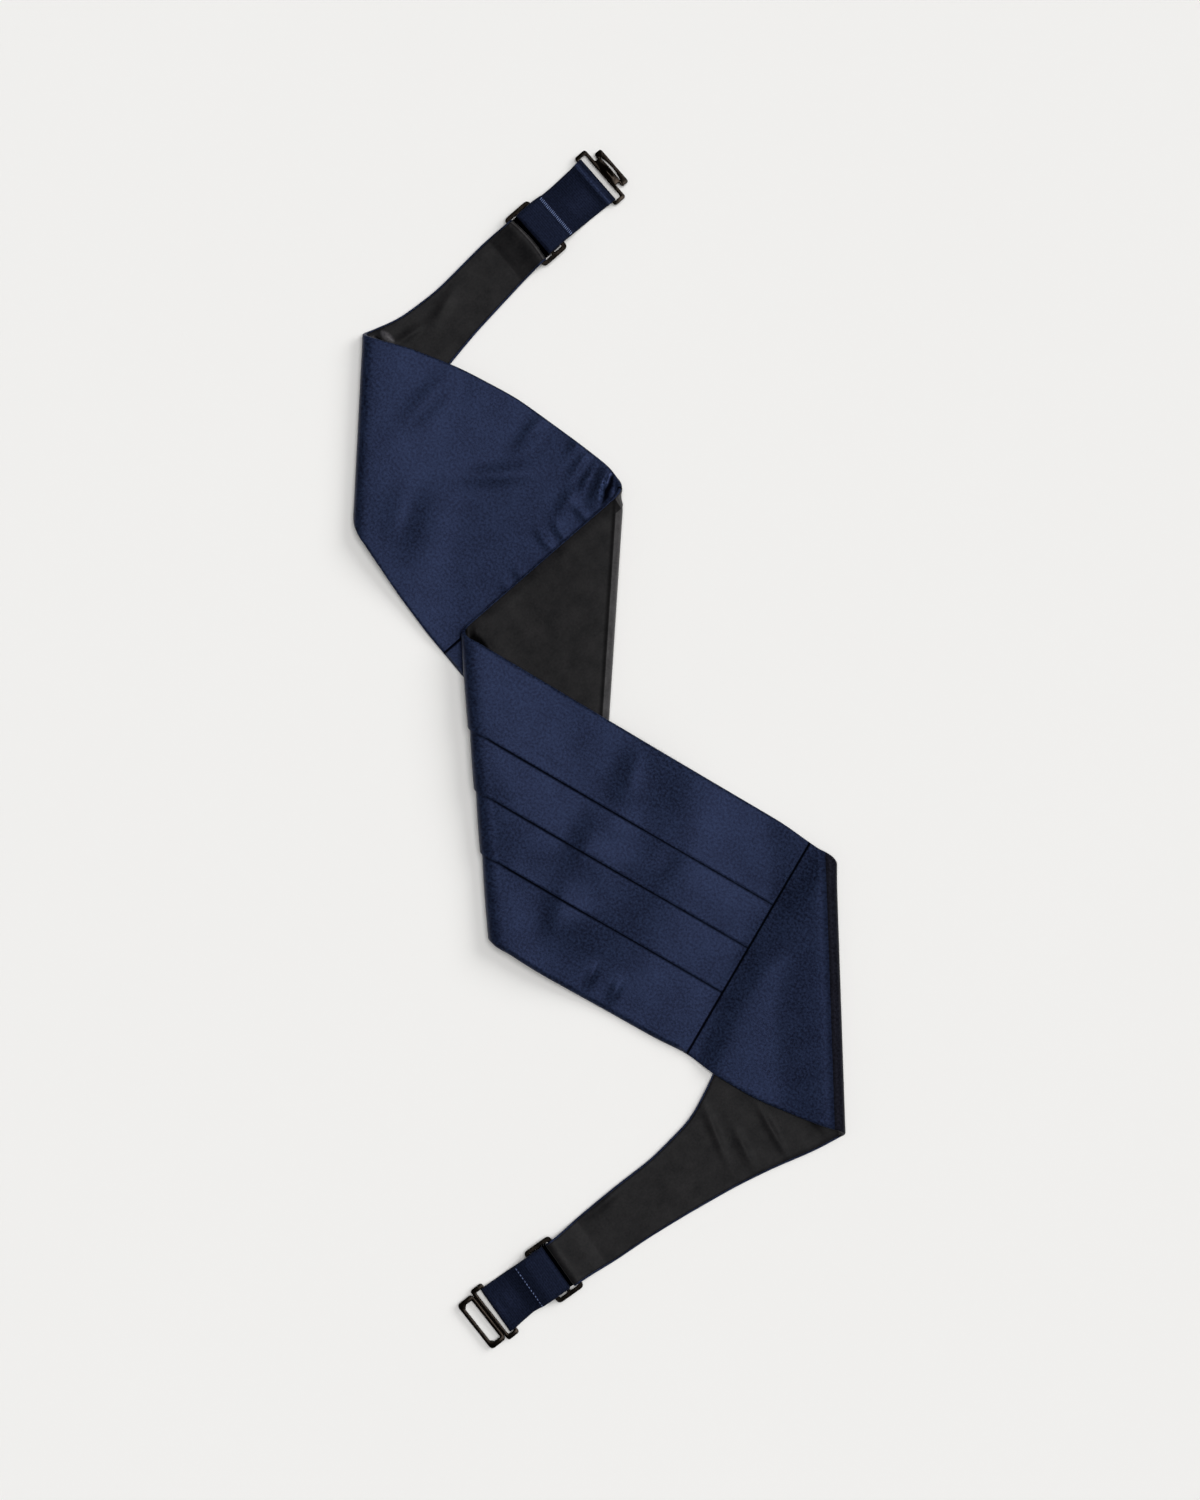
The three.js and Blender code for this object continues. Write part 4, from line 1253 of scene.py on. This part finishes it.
# The levels of a strap's layers and where they pass the slider's bars, from the slider's middle
def strapPlaces(strap):
    wall, gap = webbing["wall"], webbing["gap"]
    clear = gap + wall / 2
    halfSlider = metal["sliderWidth"] / 2
    after = wall + gap
    overBars = metal["sliderLevel"] + metal["thickness"] + clear
    offBar = halfSlider + webbing["barClear"]
    return {
        "level": wall / 2, "after": after, "clear": clear, "overBars": overBars, "offBar": offBar,
        "overClasp": metal["claspLevel"] + metal["thickness"] + clear,
        "outerSlot": halfSlider - metal["sliderBar"] - clear,
        "loopSide": metal["middleBar"] / 2 + clear,
        "fall": webbing["fall"] * (overBars - wall / 2),
        "descent": offBar + after * webbing["bend"],
        "flapFrom": offBar + 2 * after * webbing["bend"],
        "flapTo": halfSlider + strap["flapLength"],
    }


def flapLevel(strap, x):
    at = strapPlaces(strap)
    return at["overBars"] + 2 * at["after"] - max(0, x - at["flapFrom"]) / webbing["fall"]


# The path of a strap seen from its side, over and under the slider's bars and round the clasp's bar
def strapPath(strap):
    at = strapPlaces(strap)
    level, after, overBars = at["level"], at["after"], at["overBars"]
    outerSlot, loopSide, descent, offBar = at["outerSlot"], at["loopSide"], at["descent"], at["offBar"]
    loopReach = strap["loopReach"]
    farSide = loopReach + metal["loopNearBar"] + at["clear"] + strap["slack"]
    return [
        (webbing["inSlot"] - outerSlot, level), (outerSlot, level), (outerSlot, overBars),
        (offBar, overBars), (offBar + at["fall"], level), (farSide, level), (farSide, at["overClasp"]),
        (loopReach - webbing["foldBack"], at["overClasp"]), (loopReach - webbing["slope"], level + after),
        (descent + at["fall"], level + after), (descent, overBars + after), (loopSide, overBars + after),
        (loopSide, level + after), (-loopSide, level + after), (-loopSide, overBars + 2 * after),
        (at["flapFrom"], overBars + 2 * after), (at["flapTo"], flapLevel(strap, at["flapTo"])),
    ]


# Painted shade darkens a strap's cloth down in the slider's slot, and a painted highlight lightens it where
# it folds round the clasp
def paintedSlotShading(spot, at, strap):
    look = webbing
    fromBar = abs(spot.x - strap["loopReach"] + look["crestAt"])
    onCrest = spot.y > at["overClasp"] - look["crestHigh"] and fromBar < look["crestHalf"]
    if strap["crestLight"] and onCrest:
        return -strap["crestLight"] * float(1 - smoothStep(fromBar / look["crestHalf"]))
    if spot.x > -at["loopSide"] + look["slotSide"]:
        return 0.0
    return float(1 - smoothStep((spot.y - at["overBars"] + look["slotRise"]) / look["slotFade"]))


def strapMesh(name, strap):
    path = roundedPath(strapPath(strap), webbing["cornerRound"], webbing["step"])
    at = strapPlaces(strap)
    half = webbing["wall"] / 2
    bevel, inset, edge = webbing["edgeRound"], webbing["edgeInset"], webbing["edgeShare"] * half
    steps = webbing["steps"]
    count = len(path)
    verts, uv, shades = [], [], []
    travelled = 0.0
    places, lows, highs = zip(*strap["halves"])
    for index, point in enumerate(path):
        before = path[max(index - 1, 0)]
        after = path[min(index + 1, count - 1)]
        tangent = (after - before).normalized()
        side = Vector((-tangent.y, tangent.x))
        if index:
            travelled += (point - before).length
        low = -float(np.interp(point.x, places, lows))
        high = float(np.interp(point.x, places, highs))
        shares = [step / steps for step in range(steps + 1)]
        rows = [(low + bevel + (high - low - 2 * bevel) * share, half) for share in shares]
        rows += [(high - inset, edge), (high, 0), (high - inset, -edge), (high - bevel, -half)]
        rows += [(low + bevel, -half), (low + inset, -edge), (low, 0), (low + inset, edge)]
        for across, up in rows:
            spot = point + side * up
            verts.append((spot.x, across, spot.y))
            uv.append((travelled * mm, across * mm))
            # Painted shade in the slot and painted highlight on the crest at the clasp
            shades.append(paintedSlotShading(spot, at, strap))
    ring = len(rows)
    faces = tubeFaces(count, ring)
    faces += [tuple(range(first, first + ring)) for first in (0, (count - 1) * ring)]
    mesh = newMesh(name, verts, faces)
    mesh.attributes.new("painted_shading", "FLOAT", "POINT").data.foreach_set("value", shades)
    layAlong(mesh, strap, strap["sliderReach"])
    finishMesh(mesh, np.array(uv))
    return mesh, travelled


stitching = {
    "hook": {"radius": 0.27, "spacing": 0.95, "half": 11.8, "from": -1.5, "to": 0.35, "lean": 0.35},
    "eye": {"radius": 0.24, "spacing": 1.85, "half": 11.6, "from": -0.8, "to": -0.8, "lean": 1.15},
}


# Stitches through the flap's end: whipped over its edge on the hook's strap, a straight row on the eye's
def stitchMesh(name, strap, look):
    end = strapPlaces(strap)["flapTo"]
    count = int(2 * look["half"] / look["spacing"])
    rings, around = 7, 6
    blunt, lift = 0.08, 0.12
    verts, faces = [], []
    for index in range(count + 1):
        y = -look["half"] + index * look["spacing"]
        tips = []
        for x, across in ((end + look["from"], y), (end + look["to"], y + look["lean"])):
            top = flapLevel(strap, min(x, end)) + webbing["wall"] / 2 + lift
            tips.append(Vector((x, across, top - max(0, x - end))))
        along = tips[1] - tips[0]
        side = along.cross(Vector((0, 0, 1))).normalized()
        up = side.cross(along).normalized()
        first = len(verts)
        for ring in range(rings):
            share = ring / (rings - 1)
            wide = look["radius"] * math.sqrt(max(blunt, 1 - (2 * share - 1) ** 4))
            for step in range(around):
                angle = 2 * math.pi * step / around
                spot = tips[0] + along * share + wide * (math.cos(angle) * side + math.sin(angle) * up)
                verts.append(tuple(spot))
        faces += tubeFaces(rings, around, first)
        faces += [tuple(range(cap, cap + around)) for cap in (first, first + (rings - 1) * around)]
    mesh = layAlong(newMesh(name, verts, faces), strap, strap["sliderReach"])
    finishMesh(mesh, sharp=80)
    return mesh


for strapName, strap in straps.items():
    mesh, travelled = strapMesh(strapName + "_strap_ribbon", strap)
    piece = addPiece(strapName + "_strap_ribbon", mesh, [ribbonMaterial], "strap", strapName + "_strap")
    seam = strapName + "_strap_stitches"
    stitches = addPiece(seam, stitchMesh(seam, strap, stitching[strapName]), [threadMaterial], "strap")
    print("made", piece.name, round(travelled, 1), "mm long")

studio = {
    "table": {"half": 4, "level": -0.0004, "dark": "#f5f4f2", "light": "#f6f5f3", "cloudScale": 6.0},
    "lamps": {
        "overhead_light": {"strength": 1.76, "tilt": 7.0, "heading": 40.0, "spread": 34.0, "glossy": False,
                           "diffuse": True},
        "side_light": {"strength": 1.38, "tilt": 54.0, "heading": 30.0, "spread": 36.0, "glossy": False,
                       "diffuse": True},
        "reflector": {"strength": 1.0, "tilt": 13.0, "heading": 12.0, "spread": 20.0, "glossy": True,
                      "diffuse": False},
    },
    "worldStrength": 0.14,
    "photoHeight": 0.75,
    "lens": 120.0,
    "sensor": 36.0,
    "aimMm": (0.45, -0.5),
}


def addStudio():
    table = studio["table"]
    half, level = table["half"], table["level"]
    corners = [(-half, -half, level), (half, -half, level), (half, half, level), (-half, half, level)]
    mesh = newMesh("table_top", corners, [(0, 1, 2, 3)])
    floor = bpy.data.objects.new("table_top", mesh)
    bpy.context.scene.collection.objects.link(floor)
    material, tree, shader = newMaterial("painted_board", {"Roughness": 0.9, "Specular IOR Level": 0.1})
    place = addNode(tree, "ShaderNodeTexCoord")
    noise = addNode(tree, "ShaderNodeTexNoise", {"Scale": table["cloudScale"], "Detail": 2.0},
                    {"Vector": place.outputs["Object"]})
    colour = addNode(tree, "ShaderNodeValToRGB", {"ramp": [(0.0, table["dark"]), (1.0, table["light"])]},
                     {"Fac": noise.outputs[0]})
    tree.links.new(colour.outputs[0], shader.inputs["Base Color"])
    mesh.materials.append(material)
    for name, look in studio["lamps"].items():
        lamp = bpy.data.lights.new(name, "SUN")
        lamp.energy = look["strength"]
        lamp.angle = math.radians(look["spread"])
        holder = bpy.data.objects.new(name, lamp)
        tilt, heading = math.radians(look["tilt"]), math.radians(look["heading"])
        across = math.sin(tilt)
        toward = Vector((across * math.cos(heading), across * math.sin(heading), math.cos(tilt)))
        holder.location = toward * 2
        holder.rotation_euler = (-toward).to_track_quat("-Z", "Y").to_euler()
        holder.visible_glossy = look["glossy"]
        holder.visible_diffuse = look["diffuse"]
        bpy.context.scene.collection.objects.link(holder)
    world = bpy.data.worlds.new("studio")
    world.use_nodes = True
    world.node_tree.nodes["Background"].inputs["Color"].default_value = (1, 1, 1, 1)
    world.node_tree.nodes["Background"].inputs["Strength"].default_value = studio["worldStrength"]
    bpy.context.scene.world = world
    camera = bpy.data.cameras.new("camera")
    camera.sensor_fit = "VERTICAL"
    camera.sensor_height = studio["sensor"]
    camera.lens = studio["lens"]
    distance = studio["photoHeight"] * studio["lens"] / studio["sensor"]
    holder = bpy.data.objects.new("camera", camera)
    holder.location = (studio["aimMm"][0] * mm, studio["aimMm"][1] * mm, distance)
    bpy.context.scene.collection.objects.link(holder)
    bpy.context.scene.camera = holder
    bpy.context.scene.view_settings.view_transform = "Standard"
    print("studio ready, camera", round(distance, 2), "m up")


addStudio()

bpy.context.view_layer.update()
